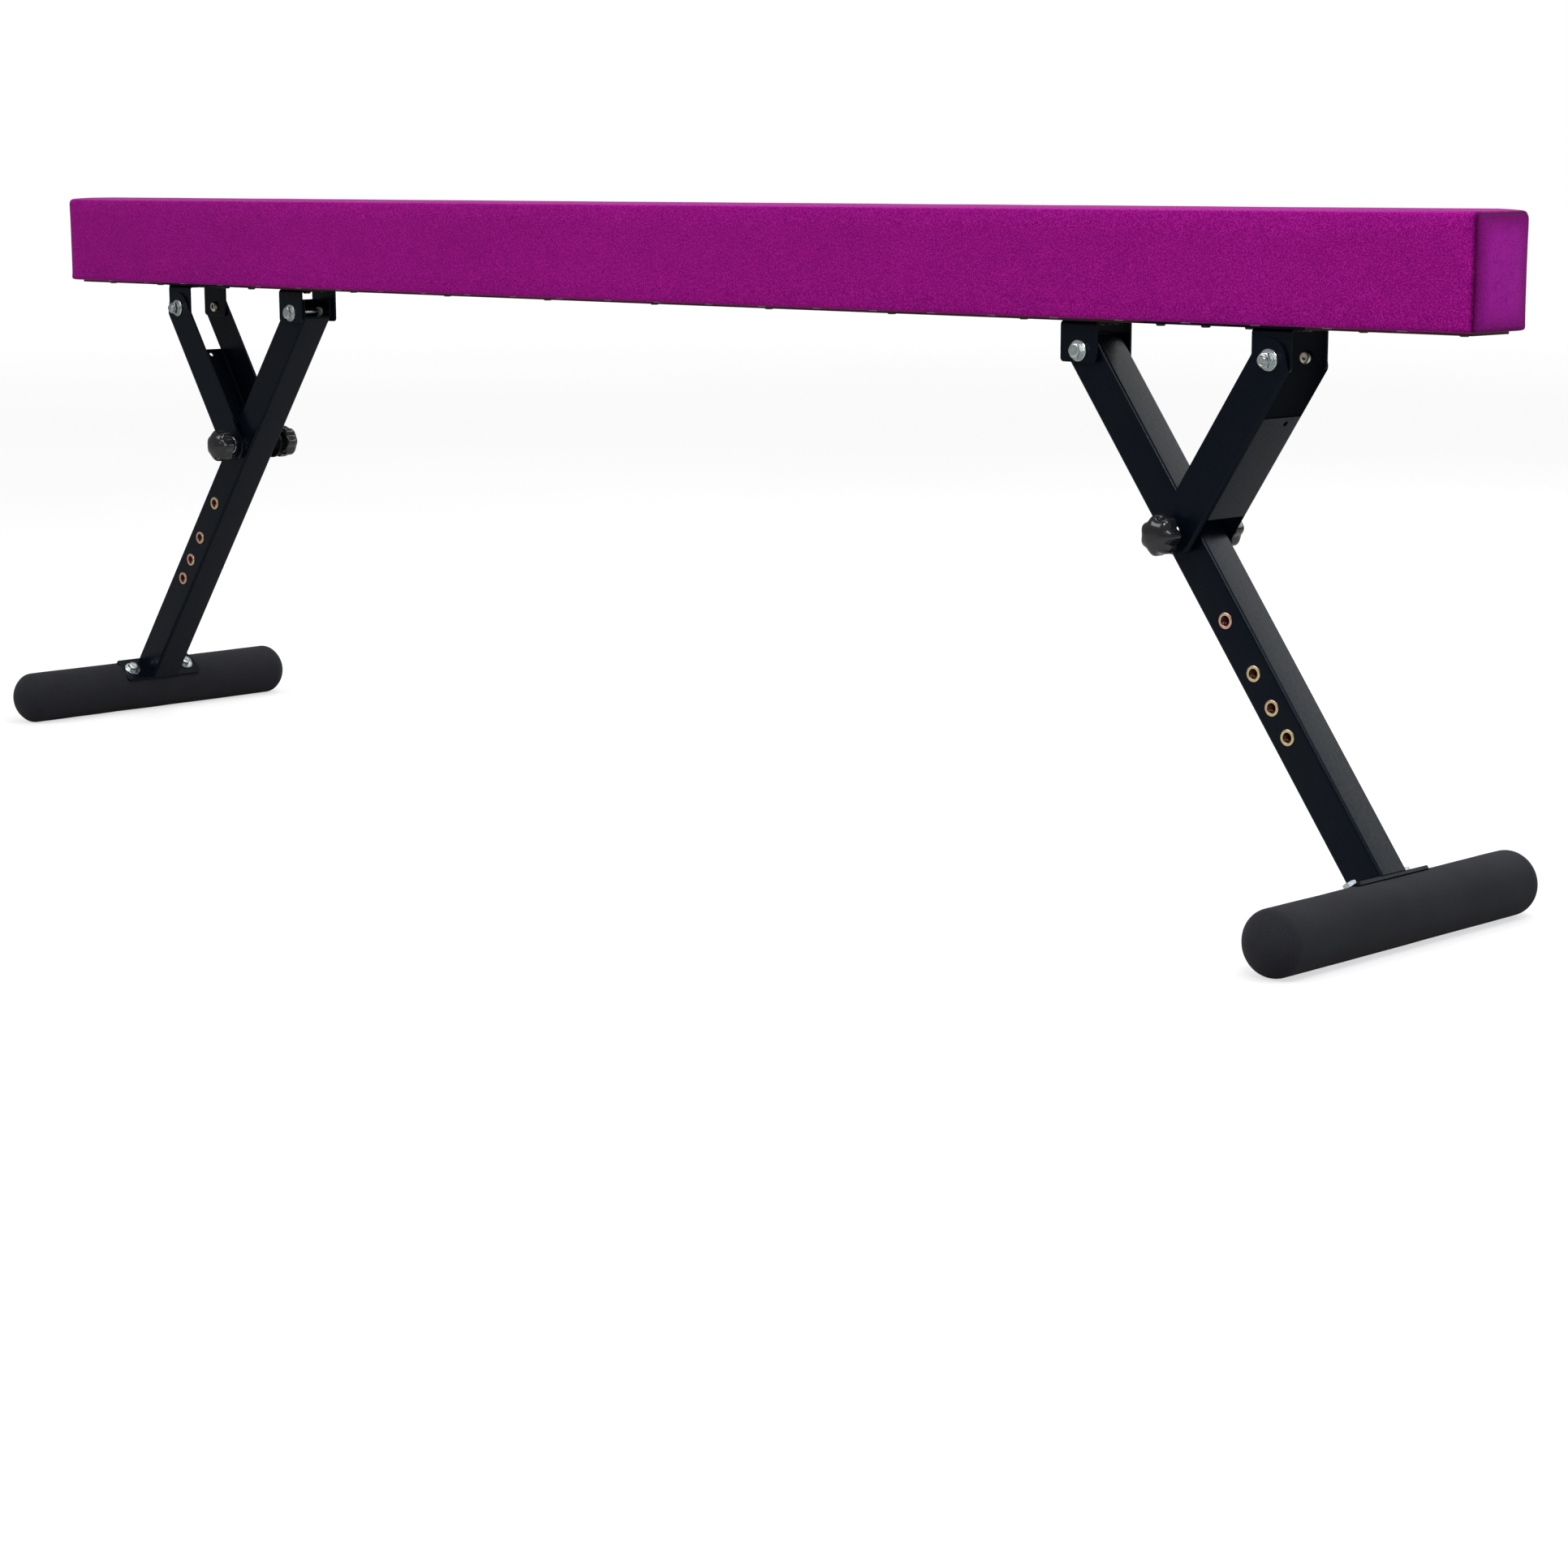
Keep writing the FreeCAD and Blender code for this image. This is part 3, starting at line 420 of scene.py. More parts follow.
def zinc():
    """Bright zinc plating, a little green-blue, with fine spangle and handling marks."""
    s = Surface("bright_zinc", Metallic=1.0)
    tint = s.noise(190, 3.0, 0.8)
    s.feed("Base Color", s.ramp(tint, (0.3, (0.50, 0.60, 0.59)), (0.55, (0.66, 0.70, 0.69)),
                                (0.75, (0.72, 0.71, 0.64))))
    s.feed("Roughness", s.ramp(s.noise(900, 3.0), (0.3, 0.20), (0.7, 0.36)))
    s.bump((s.cells(1800), 0.10, 0.0001))
    return s.material


def warm_metal(name, first, second, low, high, patch=160):
    """Brass, copper and steel: patch is the scale at which the two tints change over."""
    s = Surface(name, Metallic=1.0)
    s.feed("Base Color", s.ramp(s.noise(patch, 3.0, 0.6), (0.4, first), (0.6, second)))
    s.feed("Roughness", s.ramp(s.noise(1200, 3.0), (0.3, low), (0.7, high)))
    s.bump((s.noise(2500, 2.0), 0.12, 0.0001))
    return s.material


def knob_plastic():
    """Glossy black phenolic with faint rubbing marks."""
    s = Surface("black_knob_plastic", Specular_IOR_Level=0.5, Coat_Weight=0.3, Coat_Roughness=0.06)
    s.feed("Base Color", s.ramp(s.noise(120, 2.0), (0.3, (0.008, 0.009, 0.011)),
                                (0.7, (0.013, 0.013, 0.014))))
    s.feed("Roughness", s.ramp(s.noise(420, 4.0, 1.2), (0.35, 0.12), (0.7, 0.22)))
    s.bump((s.noise(500, 2.0), 0.08, 0.0002))
    return s.material


def foot_foam():
    """Matte dark closed-cell foam with fine pores."""
    s = Surface("black_foot_foam", Specular_IOR_Level=0.16, Sheen_Weight=0.05, Sheen_Roughness=0.5)
    grain = s.noise(900, 4.0)
    s.feed("Base Color", s.mixed(1.0, s.ramp(grain, (0.3, (0.0110, 0.0115, 0.0145)),
                                             (0.7, (0.0210, 0.0215, 0.0270))),
                                 s.ramp(s.noise(18, 3.0), (0.3, 0.8), (0.7, 1.0)), "MULTIPLY"))
    s.feed("Roughness", s.ramp(grain, (0.3, 0.82), (0.7, 0.96)))
    s.bump((s.cells(1300), 0.28, 0.00025), (s.noise(90, 2.0), 0.10, 0.0006))
    return s.material


def wood(name, dark, light):
    """Wood with grain along X."""
    s = Surface(name, Specular_IOR_Level=0.3)
    grain = s.noise(60, 6.0, 1.4, (0.05, 1, 1))
    fibre = s.noise(900, 3.0, 0.0, (0.03, 1, 1))
    s.feed("Base Color", s.mixed(0.35, s.ramp(grain, (0.35, dark), (0.65, light)),
                                 s.ramp(fibre, (0.3, dark), (0.7, light))))
    s.feed("Roughness", s.ramp(fibre, (0.3, 0.55), (0.7, 0.75)))
    s.bump((grain, 0.15, 0.0004), (fibre, 0.2, 0.0002))
    return s.material


def pale_plastic(name, first, second):
    """Nylon and open foam."""
    s = Surface(name, Specular_IOR_Level=0.4, Subsurface_Weight=0.05)
    s.feed("Base Color", s.ramp(s.noise(300, 3.0), (0.3, first), (0.7, second)))
    s.feed("Roughness", s.ramp(s.noise(600, 2.0), (0.3, 0.42), (0.7, 0.6)))
    s.bump((s.noise(1500, 2.0), 0.15, 0.00015))
    return s.material


SUEDE = suede()
PAINT = black_paint()
ZINC = zinc()
KNOB = knob_plastic()
FOOT = foot_foam()
COPPER = warm_metal("insert_copper", (0.95, 0.56, 0.45), (0.88, 0.76, 0.42), 0.24, 0.38, patch=14)
INSERT_BROWN = warm_metal("insert_bore", (0.16, 0.045, 0.03), (0.10, 0.03, 0.025), 0.35, 0.55)
BUTTON_METAL = warm_metal("button_head", (0.78, 0.74, 0.62), (0.70, 0.68, 0.60), 0.22, 0.34)
BLACK_OXIDE = warm_metal("black_oxide", (0.035, 0.034, 0.036), (0.060, 0.057, 0.055), 0.38, 0.52)
BARE_STEEL = warm_metal("bare_steel", (0.42, 0.41, 0.40), (0.52, 0.52, 0.52), 0.30, 0.45)
CORE_WOOD = wood("core_wood", (0.42, 0.27, 0.14), (0.62, 0.44, 0.26))
SLAT_WOOD = wood("slat_wood", (0.045, 0.016, 0.013), (0.100, 0.038, 0.026))
NYLON = pale_plastic("nylon", (0.62, 0.60, 0.54), (0.72, 0.70, 0.65))
FOAM = pale_plastic("inner_foam", (0.60, 0.56, 0.42), (0.70, 0.66, 0.52))

CAD_MATERIALS = {
    "beam_core": CORE_WOOD, "cover_staples": BARE_STEEL,
    "bottom_slats": SLAT_WOOD, "slat_screws": BLACK_OXIDE}
SET_MATERIALS = {
    "bracket_screws": BLACK_OXIDE, "leg_bushes": NYLON, "strut_spacers": NYLON, "foot_pipe": BARE_STEEL}


def paint_cad_nodes():
    """Finishes for the CAD nodes that are shown as they are."""
    finishes = dict(CAD_MATERIALS)
    for name in LEG_SETS:
        for node, surface in SET_MATERIALS.items():
            finishes[name + "_" + node] = surface
    for node, surface in finishes.items():
        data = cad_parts[node].data
        data.materials.clear()
        data.materials.append(surface)


# ---------------------------------------------------------------- cover

def grid_lines(low, high, edge):
    """Grid positions, closer together near both ends."""
    inner_low = low + edge[-1]
    inner_high = high - edge[-1]
    count = max(1, round((inner_high - inner_low) / GRID_STEP))
    middle = [inner_low + (inner_high - inner_low) * k / count for k in range(1, count)]
    start = [low + step for step in edge]
    end = [high - step for step in reversed(edge)]
    return start + middle + end


def block_grid(low, high):
    """A closed block of quads, as grid coordinates and faces."""
    edges = (SEAM_GRID, EDGE_GRID, EDGE_GRID)
    lines = [grid_lines(low[axis], high[axis], edges[axis]) for axis in range(3)]
    last = [len(line) - 1 for line in lines]
    index = {}
    verts = []
    faces = []

    def vertex(key):
        if key not in index:
            index[key] = len(verts)
            verts.append(Vector([lines[axis][key[axis]] for axis in range(3)]))
        return index[key]

    for axis in range(3):
        a, b = [other for other in range(3) if other != axis]
        for end in (0, last[axis]):
            for i in range(last[a]):
                for j in range(last[b]):
                    corners = []
                    for di, dj in ((0, 0), (1, 0), (1, 1), (0, 1)):
                        key = [0, 0, 0]
                        key[axis], key[a], key[b] = end, i + di, j + dj
                        corners.append(vertex(tuple(key)))
                    faces.append(corners)
    return verts, faces


def rounded(point, low, high):
    """Moves a point of a block onto the block with its edges rounded."""
    radius = COVER_EDGE_RADIUS
    lower = COVER_LOWER_RADIUS
    inner = Vector((min(max(point.x, low.x + radius), high.x - radius),
                    min(max(point.y, low.y + radius), high.y - radius),
                    min(max(point.z, low.z + lower), high.z - radius)))
    size = Vector((radius, radius, lower if point.z < inner.z else radius))
    away = Vector([(p - q) / s for p, q, s in zip(point, inner, size)])
    if away.length < 1e-9:
        return point
    away.normalize()
    return inner + Vector([a * s for a, s in zip(away, size)])


def is_held(point, low, high):
    """Whether a grid point is held: along the block's edges, under the slats, and at staples."""
    on_faces = sum(min(abs(point[axis] - low[axis]), abs(point[axis] - high[axis])) < 1e-6
                   for axis in range(3))
    if on_faces > 1:
        return True
    if point.z > low.z + 1e-6 or abs(point.x) > high.x - FLAP_END_INSET:
        return False
    along = (point.x / STAPLE_STEP) % 1 * STAPLE_STEP
    near_staple = abs(along - STAPLE_STEP / 2) < GRID_STEP
    at_staple = near_staple and abs(abs(point.y) - STAPLE_Y) < STAPLE_HALF_WIDTH
    return at_staple or abs(point.y) < FLAP_INNER_Y + FLAP_GRIP


def inflate(piece, held, limit):
    """Lets the padding push the cloth out, and caps how far each point moves."""
    start = np.array([v.co for v in piece.data.vertices])
    group = piece.vertex_groups.new(name="held")
    group.add([int(i) for i in np.flatnonzero(held)], 1.0, "REPLACE")
    cloth = piece.modifiers.new("Cloth", "CLOTH")
    cloth.settings.quality = 5
    cloth.settings.mass = 0.3
    cloth.settings.tension_stiffness = 30
    cloth.settings.compression_stiffness = 30
    cloth.settings.shear_stiffness = 15
    cloth.settings.bending_stiffness = 3
    cloth.settings.vertex_group_mass = "held"
    cloth.settings.use_pressure = True
    cloth.settings.uniform_pressure_force = 4
    cloth.settings.effector_weights.gravity = 0
    cloth.point_cache.frame_start = 1
    cloth.point_cache.frame_end = SIMULATED_FRAMES
    for step in range(1, SIMULATED_FRAMES + 1):
        scene.frame_set(step)
    settled = piece.evaluated_get(bpy.context.evaluated_depsgraph_get()).to_mesh()
    moved = np.array([v.co for v in settled.vertices]) - start
    piece.evaluated_get(bpy.context.evaluated_depsgraph_get()).to_mesh_clear()
    piece.modifiers.remove(cloth)
    piece.vertex_groups.remove(group)
    scene.frame_set(1)
    distance = np.linalg.norm(moved, axis=1)
    scale = np.minimum(1, limit / np.maximum(distance, 1e-9))
    piece.data.vertices.foreach_set("co", (start + moved * scale[:, None]).ravel())
    piece.data.update()


def shape_cover(piece, grid, low, high):
    """Seam grooves at both ends, the roll of the lower edge, and slight unevenness."""
    middle = (low + high) / 2
    for vertex, point in zip(piece.data.vertices, grid):
        outward = Vector((0, point.y - middle.y, point.z - middle.z))
        under = vertex.co.z < low.z + COVER_LOWER_RADIUS
        from_seam = abs(abs(vertex.co.x) - (high.x - SEAM_INSET))
        if not under:
            groove = math.exp(-(from_seam / SEAM_HALF_WIDTH) ** 2)
            gather = math.sin(PUCKER_RATE * (vertex.co.y + vertex.co.z))
            pucker = 1 - SEAM_PUCKER + SEAM_PUCKER * gather
            wave = noise.noise(Vector((vertex.co.x * 9, vertex.co.y * 25, vertex.co.z * 25)))
            push = WAVE_HEIGHT * wave - SEAM_DEPTH * groove * pucker
            vertex.co += outward.normalized() * push
        height = vertex.co.z - low.z
        if ROLL_ZONE[0] < height < ROLL_ZONE[1] and abs(point.y) > ROLL_FROM_Y:
            roll = math.exp(-((height - ROLL_HEIGHT) / ROLL_SPREAD) ** 2)
            vertex.co.y += math.copysign(ROLL_BULGE * roll, point.y)


def cloth_block(points, faces):
    """The cover before it swells: a closed block."""
    mesh = bmesh.new()
    add_part(mesh, (points, faces))
    bmesh.ops.recalc_face_normals(mesh, faces=mesh.faces)
    data = bpy.data.meshes.new("beam_cover_cloth")
    mesh.to_mesh(data)
    mesh.free()
    piece = bpy.data.objects.new("beam_cover_cloth", data)
    scene.collection.objects.link(piece)
    return piece


def swell_limits(points, low, high):
    """How far each point may move: furthest at the ends, least under the beam."""
    end_share = np.array([(abs(p.x) - high.x + END_ZONE) / END_ZONE for p in points])
    limits = SWELL_SIDE + (SWELL_END - SWELL_SIDE) * np.clip(end_share, 0, 1)
    under = np.array([p.z < low.z + ROLL_ZONE[0] for p in points])
    limits[under] = SWELL_UNDER
    return limits


def is_open(point, low, high):
    """Whether a grid point lies in the opening that the flap leaves under the beam."""
    return (point.z < low.z + 1e-6 and abs(point.y) < FLAP_INNER_Y
            and abs(point.x) < high.x - FLAP_END_INSET)


def open_underside(piece, grid, low, high):
    mesh = bmesh.new()
    mesh.from_mesh(piece.data)
    inner = [f for f in mesh.faces if all(is_open(grid[v.index], low, high) for v in f.verts)]
    bmesh.ops.delete(mesh, geom=inner, context="FACES")
    bmesh.ops.recalc_face_normals(mesh, faces=mesh.faces)
    for face in mesh.faces:
        face.smooth = True
    mesh.to_mesh(piece.data)
    mesh.free()


def smoothed(piece):
    smooth = piece.modifiers.new("Smooth", "SUBSURF")
    smooth.levels = 1
    smooth.render_levels = 1


def beam_cover():
    """The cloth cover: swollen by its padding, seamed at both ends, turned under below."""
    low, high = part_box("beam_cover")
    inset = 1.0
    low_in = low + Vector((SWELL_END, SWELL_SIDE, 0)) * inset
    high_in = high - Vector((SWELL_END, SWELL_SIDE, SWELL_SIDE)) * inset
    grid, faces = block_grid(low_in, high_in)
    points = [rounded(p, low_in, high_in) for p in grid]
    piece = cloth_block(points, faces)
    held = np.array([is_held(p, low_in, high_in) for p in grid])
    inflate(piece, held, swell_limits(points, low, high))
    shape_cover(piece, grid, low, high)
    open_underside(piece, grid, low, high)
    skin = piece.modifiers.new("Skin", "SOLIDIFY")
    skin.thickness = COVER_SKIN
    skin.offset = -1
    smoothed(piece)
    piece.data.materials.append(SUEDE)
    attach(piece, "beam")
    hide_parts("beam_cover")


def inner_foam():
    """The foam round the core, drawn in so that it doesn't show through the cover."""
    low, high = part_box("beam_core")
    mesh = bmesh.new()
    mesh.from_mesh(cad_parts["beam_foam"].data)
    for vertex in mesh.verts:
        for axis in range(3):
            over = vertex.co[axis] - high[axis]
            under = low[axis] - vertex.co[axis]
            if over > FOAM_OUTSIDE:
                vertex.co[axis] -= FOAM_PRESS[axis]
            if under > FOAM_OUTSIDE:
                vertex.co[axis] += FOAM_PRESS[axis]
    for face in mesh.faces:
        face.smooth = True
    piece = finish_piece("beam_foam_wrap", mesh, "beam", [FOAM], ["beam_foam"])


# ---------------------------------------------------------------- feet

def foot_profile(half, radius):
    """(radius, distance along the foot) points of a sleeve with domed ends."""
    ring = radius - FOOT_KNUCKLE
    crown = ((FOOT_DOME ** 2 + ring ** 2 - FOOT_KNUCKLE ** 2) / (2 * (FOOT_DOME - FOOT_KNUCKLE)))
    straight = half - FOOT_DOME
    centre_y = half - crown
    meet = math.atan2(ring, straight - centre_y)
    dome = [(crown * math.sin(meet * k / 8), centre_y + crown * math.cos(meet * k / 8))
            for k in range(1, 9)]
    knuckle = []
    for k in range(1, 13):
        angle = meet + (math.pi / 2 - meet) * k / 12
        knuckle.append((ring + FOOT_KNUCKLE * math.sin(angle),
                        straight + FOOT_KNUCKLE * math.cos(angle)))
    count = round(straight / 0.003)
    middle = [(radius, straight * (1 - k / count)) for k in range(1, count)]
    end = dome + knuckle + middle
    return [(r, -y) for r, y in end] + [(radius, 0.0)] + [(r, y) for r, y in reversed(end)]


def plate_pocket(name, hinge, down, across):
    """Where the foot plate presses in the foam: from the hinge down, along the foot and across."""
    plate = [(Vector(v.co) - hinge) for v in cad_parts[name + "_foot_plate"].data.vertices]
    depth = max(p.dot(down) for p in plate) + PLATE_GAP
    half_length = max(abs(p.y) for p in plate) + PLATE_MARGIN
    half_width = max(abs(p.dot(across)) for p in plate) + PLATE_MARGIN
    return depth, half_length, half_width


def foot_sleeve(name):
    """Foam sleeve, pressed in under the foot plate and a little flattened on the floor."""
    low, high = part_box(name + "_foot_sleeve")
    hub = centre(name + "_foot_pipe")
    hinge, down = leg_axis(name)
    across = down.cross(Vector((0, 1, 0)))
    radius = (high.z - low.z) / 2 + FOOT_SAG
    depth, half_length, half_width = plate_pocket(name, hinge, down, across)
    rings = []
    for r, y in foot_profile((high.y - low.y) / 2, radius):
        press = min(1, max(0, (half_length - abs(y)) / PLATE_RAMP))
        ring = []
        for k in range(FOOT_SIDES):
            angle = 2 * math.pi * k / FOOT_SIDES
            point = hub + Vector((r * math.cos(angle), y, r * math.sin(angle)))
            dent = noise.noise(point * 22) * FOOT_UNEVENNESS
            point += (point - hub - Vector((0, y, 0))).normalized() * dent
            from_hinge = (point - hinge).dot(down)
            if abs((point - hinge).dot(across)) < half_width and from_hinge < depth:
                point += down * (depth - from_hinge) * press
            point.z = max(point.z, low.z + FLOOR_GAP)
            ring.append(point)
        rings.append(ring)
    mesh = bmesh.new()
    add_part(mesh, loft(rings))
    piece = finish_piece(name + "_foot_foam", mesh, name + "_leg", [FOOT],
                         [name + "_foot_sleeve"], sharp=60)


# ---------------------------------------------------------------- painted steel

def eased_copy(node, body):
    """A CAD node's own shape with its sharp edges eased, as paint leaves them."""
    mesh = bmesh.new()
    mesh.from_mesh(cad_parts[node].data)
    bmesh.ops.remove_doubles(mesh, verts=mesh.verts, dist=2e-6)
    bmesh.ops.dissolve_limit(mesh, angle_limit=math.radians(0.6), verts=mesh.verts,
                             edges=mesh.edges)
    for face in mesh.faces:
        face.smooth = True
    piece = finish_piece(node + "_painted", mesh, body, [PAINT], [node])
    ease = piece.modifiers.new("Ease", "BEVEL")
    ease.limit_method = "ANGLE"
    ease.angle_limit = math.radians(34)
    ease.width = EASED_EDGE
    ease.segments = 3
    ease.harden_normals = True


def painted_steel(name):
    eased_copy(name + "_leg_tube", name + "_leg")
    eased_copy(name + "_foot_plate", name + "_leg")
    eased_copy(name + "_strut", name + "_strut_arm")
    for node in ("_inner_bracket", "_outer_bracket", "_mount_plate"):
        eased_copy(name + node, "beam")


# ---------------------------------------------------------------- hardware

def washer(radius):
    """A stamped washer with eased rims."""
    bore = BOLT_RADIUS + 0.00005
    rim = 0.0003
    top = WASHER_THICKNESS
    return turned([(bore, rim), (bore + rim, 0), (radius - rim, 0), (radius, rim),
                   (radius, top - 2 * rim), (radius - 2 * rim, top), (bore + rim, top),
                   (bore, top - rim)], count=64, loop=True)


def lock_nut(height):
    """Body and collar of a lock nut, its open bore, and its nylon ring."""
    body = hexagon_body(HEX_ACROSS_FLATS, height - NUT_COLLAR, both=True)
    outer = HEX_ACROSS_FLATS / 2 * 0.9
    base = height - NUT_COLLAR - 0.0002
    collar = turned([(BOLT_RADIUS + 0.0011, base), (outer, base), (outer, height - 0.0009),
                     (outer - 0.0003, height - 0.0003), (outer - 0.001, height),
                     (outer - 0.0017, height - 0.0002), (BOLT_RADIUS + 0.0011, height - 0.0008)],
                    loop=True)
    ring = turned([(BOLT_RADIUS, base), (BOLT_RADIUS + 0.0012, base),
                   (BOLT_RADIUS + 0.0012, height - 0.0009), (BOLT_RADIUS + 0.0003, height - 0.0008),
                   (BOLT_RADIUS, height - 0.0011)], loop=True)
    return body, collar, ring


def button_head():
    """A button head along +Z, with a hexagon socket."""
    count = 72
    shoulder = BUTTON_RIM + 0.0002
    rings = [circle(BUTTON_RADIUS, 0, count), circle(BUTTON_RADIUS, BUTTON_RIM, count)]
    for k in range(1, 7):
        angle = math.pi / 2 * k / 6
        r = BUTTON_RADIUS - (BUTTON_RADIUS - BUTTON_TOP_RADIUS) * (1 - math.cos(angle))
        rings.append(circle(r, shoulder + (BUTTON_HEIGHT - shoulder) * math.sin(angle), count))
    socket = []
    for k in range(count):
        angle = 2 * math.pi * k / count
        reach = SOCKET_HALF_WIDTH / math.cos(angle % (math.pi / 3) - math.pi / 6)
        socket.append((reach * math.cos(angle), reach * math.sin(angle)))
    for depth in (0.0, 0.0002, SOCKET_DEPTH):
        rings.append([(x, y, BUTTON_HEIGHT - depth) for x, y in socket])
    return loft(rings)


def shaft(length, plain):
    """A bolt's shank along +Z: plain at first, and threaded from there to its end."""
    radius = BOLT_RADIUS - 0.0001
    return turned([(radius, 0), (radius, plain)]), threaded(plain, length, BOLT_RADIUS)


def leg_hinge(name):
    """The long hinge bolt, its washers and its lock nut."""
    hinge = centre(name + "_hinge_washers")
    low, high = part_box(name + "_hinge_bolt")
    washer_low, washer_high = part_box(name + "_hinge_washers")
    radius = (washer_high.x - washer_low.x) / 2
    bolt = bmesh.new()
    head_height = washer_low.y - low.y
    add_part(bolt, hexagon_body(HEX_ACROSS_FLATS, head_height),
             facing(hinge.x, washer_low.y, hinge.z, -1))
    length = high.y - washer_low.y
    for part in shaft(length, length - HINGE_THREAD):
        add_part(bolt, part, facing(hinge.x, washer_low.y, hinge.z, 1))
    finish_piece(name + "_hinge_bolt_threaded", bolt, "beam", [ZINC],
                 [name + "_hinge_bolt"])
    rings = bmesh.new()
    for side in PLACES.values():
        seat = side * (washer_high.y - WASHER_THICKNESS)
        add_part(rings, washer(radius), facing(hinge.x, seat, hinge.z, side))
    finish_piece(name + "_hinge_washer_pair", rings, "beam", [ZINC],
                 [name + "_hinge_washers"])
    nut_low, nut_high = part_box(name + "_hinge_nut")
    nuts(name + "_hinge_lock_nut", "beam", name + "_hinge_nut",
         [facing(hinge.x, nut_low.y, hinge.z, 1)], nut_high.y - nut_low.y)


def nuts(piece_name, body, node, places, height):
    mesh = bmesh.new()
    for place in places:
        for part, material in zip(lock_nut(height), (0, 0, 1)):
            add_part(mesh, part, place, material)
    finish_piece(piece_name, mesh, body, [ZINC, NYLON], [node])


def strut_hinge(name):
    """Two short button-head bolts with washers and lock nuts."""
    hinge = centre(name + "_strut_washers")
    washer_low, washer_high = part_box(name + "_strut_washers")
    radius = (washer_high.x - washer_low.x) / 2
    heads = bmesh.new()
    rings = bmesh.new()
    nut_places = []
    for side in PLACES.values():
        inner, outer = near_and_far(half_box(name + "_strut_bolts", side), side)
        seat = inner + side * BUTTON_HEIGHT
        add_part(heads, button_head(), facing(hinge.x, seat, hinge.z, -side), 1)
        for part in shaft(abs(outer - seat), BUTTON_SHANK):
            add_part(heads, part, facing(hinge.x, seat, hinge.z, side))
        washer_seat = near_and_far(half_box(name + "_strut_washers", side), side)[0]
        add_part(rings, washer(radius), facing(hinge.x, washer_seat, hinge.z, side))
        nut_seat, nut_end = near_and_far(half_box(name + "_strut_nuts", side), side)
        nut_places.append(facing(hinge.x, nut_seat, hinge.z, side))
    finish_piece(name + "_strut_bolt_pair", heads, "beam", [ZINC, BUTTON_METAL],
                 [name + "_strut_bolts"])
    finish_piece(name + "_strut_washer_pair", rings, "beam", [ZINC],
                 [name + "_strut_washers"])
    nuts(name + "_strut_lock_nuts", "beam", name + "_strut_nuts", nut_places,
         abs(nut_end - nut_seat))


def foot_hardware(name):
    """The two bolts that hold the foot bar, and their washers."""
    hinge, down = leg_axis(name)
    across = down.cross(Vector((0, 1, 0)))
    turn = Matrix((across, Vector((0, 1, 0)), -down)).transposed().to_4x4()
    washers = [Vector(v.co) - hinge
               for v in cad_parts[name + "_foot_washers"].data.vertices]
    bolts = [Vector(v.co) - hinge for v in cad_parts[name + "_foot_bolts"].data.vertices]
    seat = max(p.dot(down) for p in washers)
    radius = max(abs(p.dot(across)) for p in washers)
    bolt_y = max(p.y for p in washers) - radius
    tip = max(p.dot(down) for p in bolts)
    top = min(p.dot(down) for p in bolts)
    heads = bmesh.new()
    rings = bmesh.new()
    for side in PLACES.values():
        place = Matrix.Translation(hinge + down * seat + Vector((0, side * bolt_y, 0))) @ turn
        add_part(rings, washer(radius), place)
        head_height = seat - WASHER_THICKNESS - top
        lift = Matrix.Translation((0, 0, WASHER_THICKNESS))
        add_part(heads, hexagon_body(HEX_ACROSS_FLATS, head_height), place @ lift)
        flip = Matrix.Rotation(math.pi, 4, "X")
        add_part(heads, threaded(0, tip - seat, BOLT_RADIUS), place @ flip)
    finish_piece(name + "_foot_bolt_pair", heads, name + "_leg", [ZINC],
                 [name + "_foot_bolts"])
    finish_piece(name + "_foot_washer_pair", rings, name + "_leg", [ZINC],
                 [name + "_foot_washers"])


def insert_places(name, hinge, down):
    """Distances from the hinge of the threaded inserts, from the gaps between them."""
    points = [Vector(v.co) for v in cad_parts[name + "_leg_inserts"].data.vertices]
    distances = sorted((p - hinge).dot(down) for p in points)
    clusters = [[distances[0]]]
    for distance in distances[1:]:
        if distance - clusters[-1][-1] > 0.01:
            clusters.append([])
        clusters[-1].append(distance)
    return [(cluster[0] + cluster[-1]) / 2 for cluster in clusters]


def insert_parts():
    """An insert along +Z from the wall's face: its flanged body, its mouth and its tapped bore."""
    radius = INSERT_FLANGE_RADIUS
    top = INSERT_FLANGE
    inside = INSERT_BORE + 0.0005
    body = turned([(inside, -INSERT_DEPTH), (INSERT_BODY_RADIUS, -INSERT_DEPTH),
                   (INSERT_BODY_RADIUS, -0.005), (INSERT_CRIMP_RADIUS, -0.0035),
                   (INSERT_BODY_RADIUS, -0.002), (INSERT_BODY_RADIUS, 0), (radius, 0),
                   (radius, top * 0.5), (radius - 0.0002, top * 0.8), (radius - 0.0007, top),
                   (INSERT_MOUTH + 0.0003, top), (INSERT_MOUTH, top - 0.0002)], caps=(False, False))
    mouth = turned([(INSERT_MOUTH, top - 0.0002), (INSERT_BORE + 0.0006, -INSERT_THREAD_START)],
                   caps=(False, False))
    verts, faces = threaded(-INSERT_DEPTH, -INSERT_THREAD_START, inside)
    walls = verts, [face for face in faces if len(face) == 4]
    return body, mouth, walls


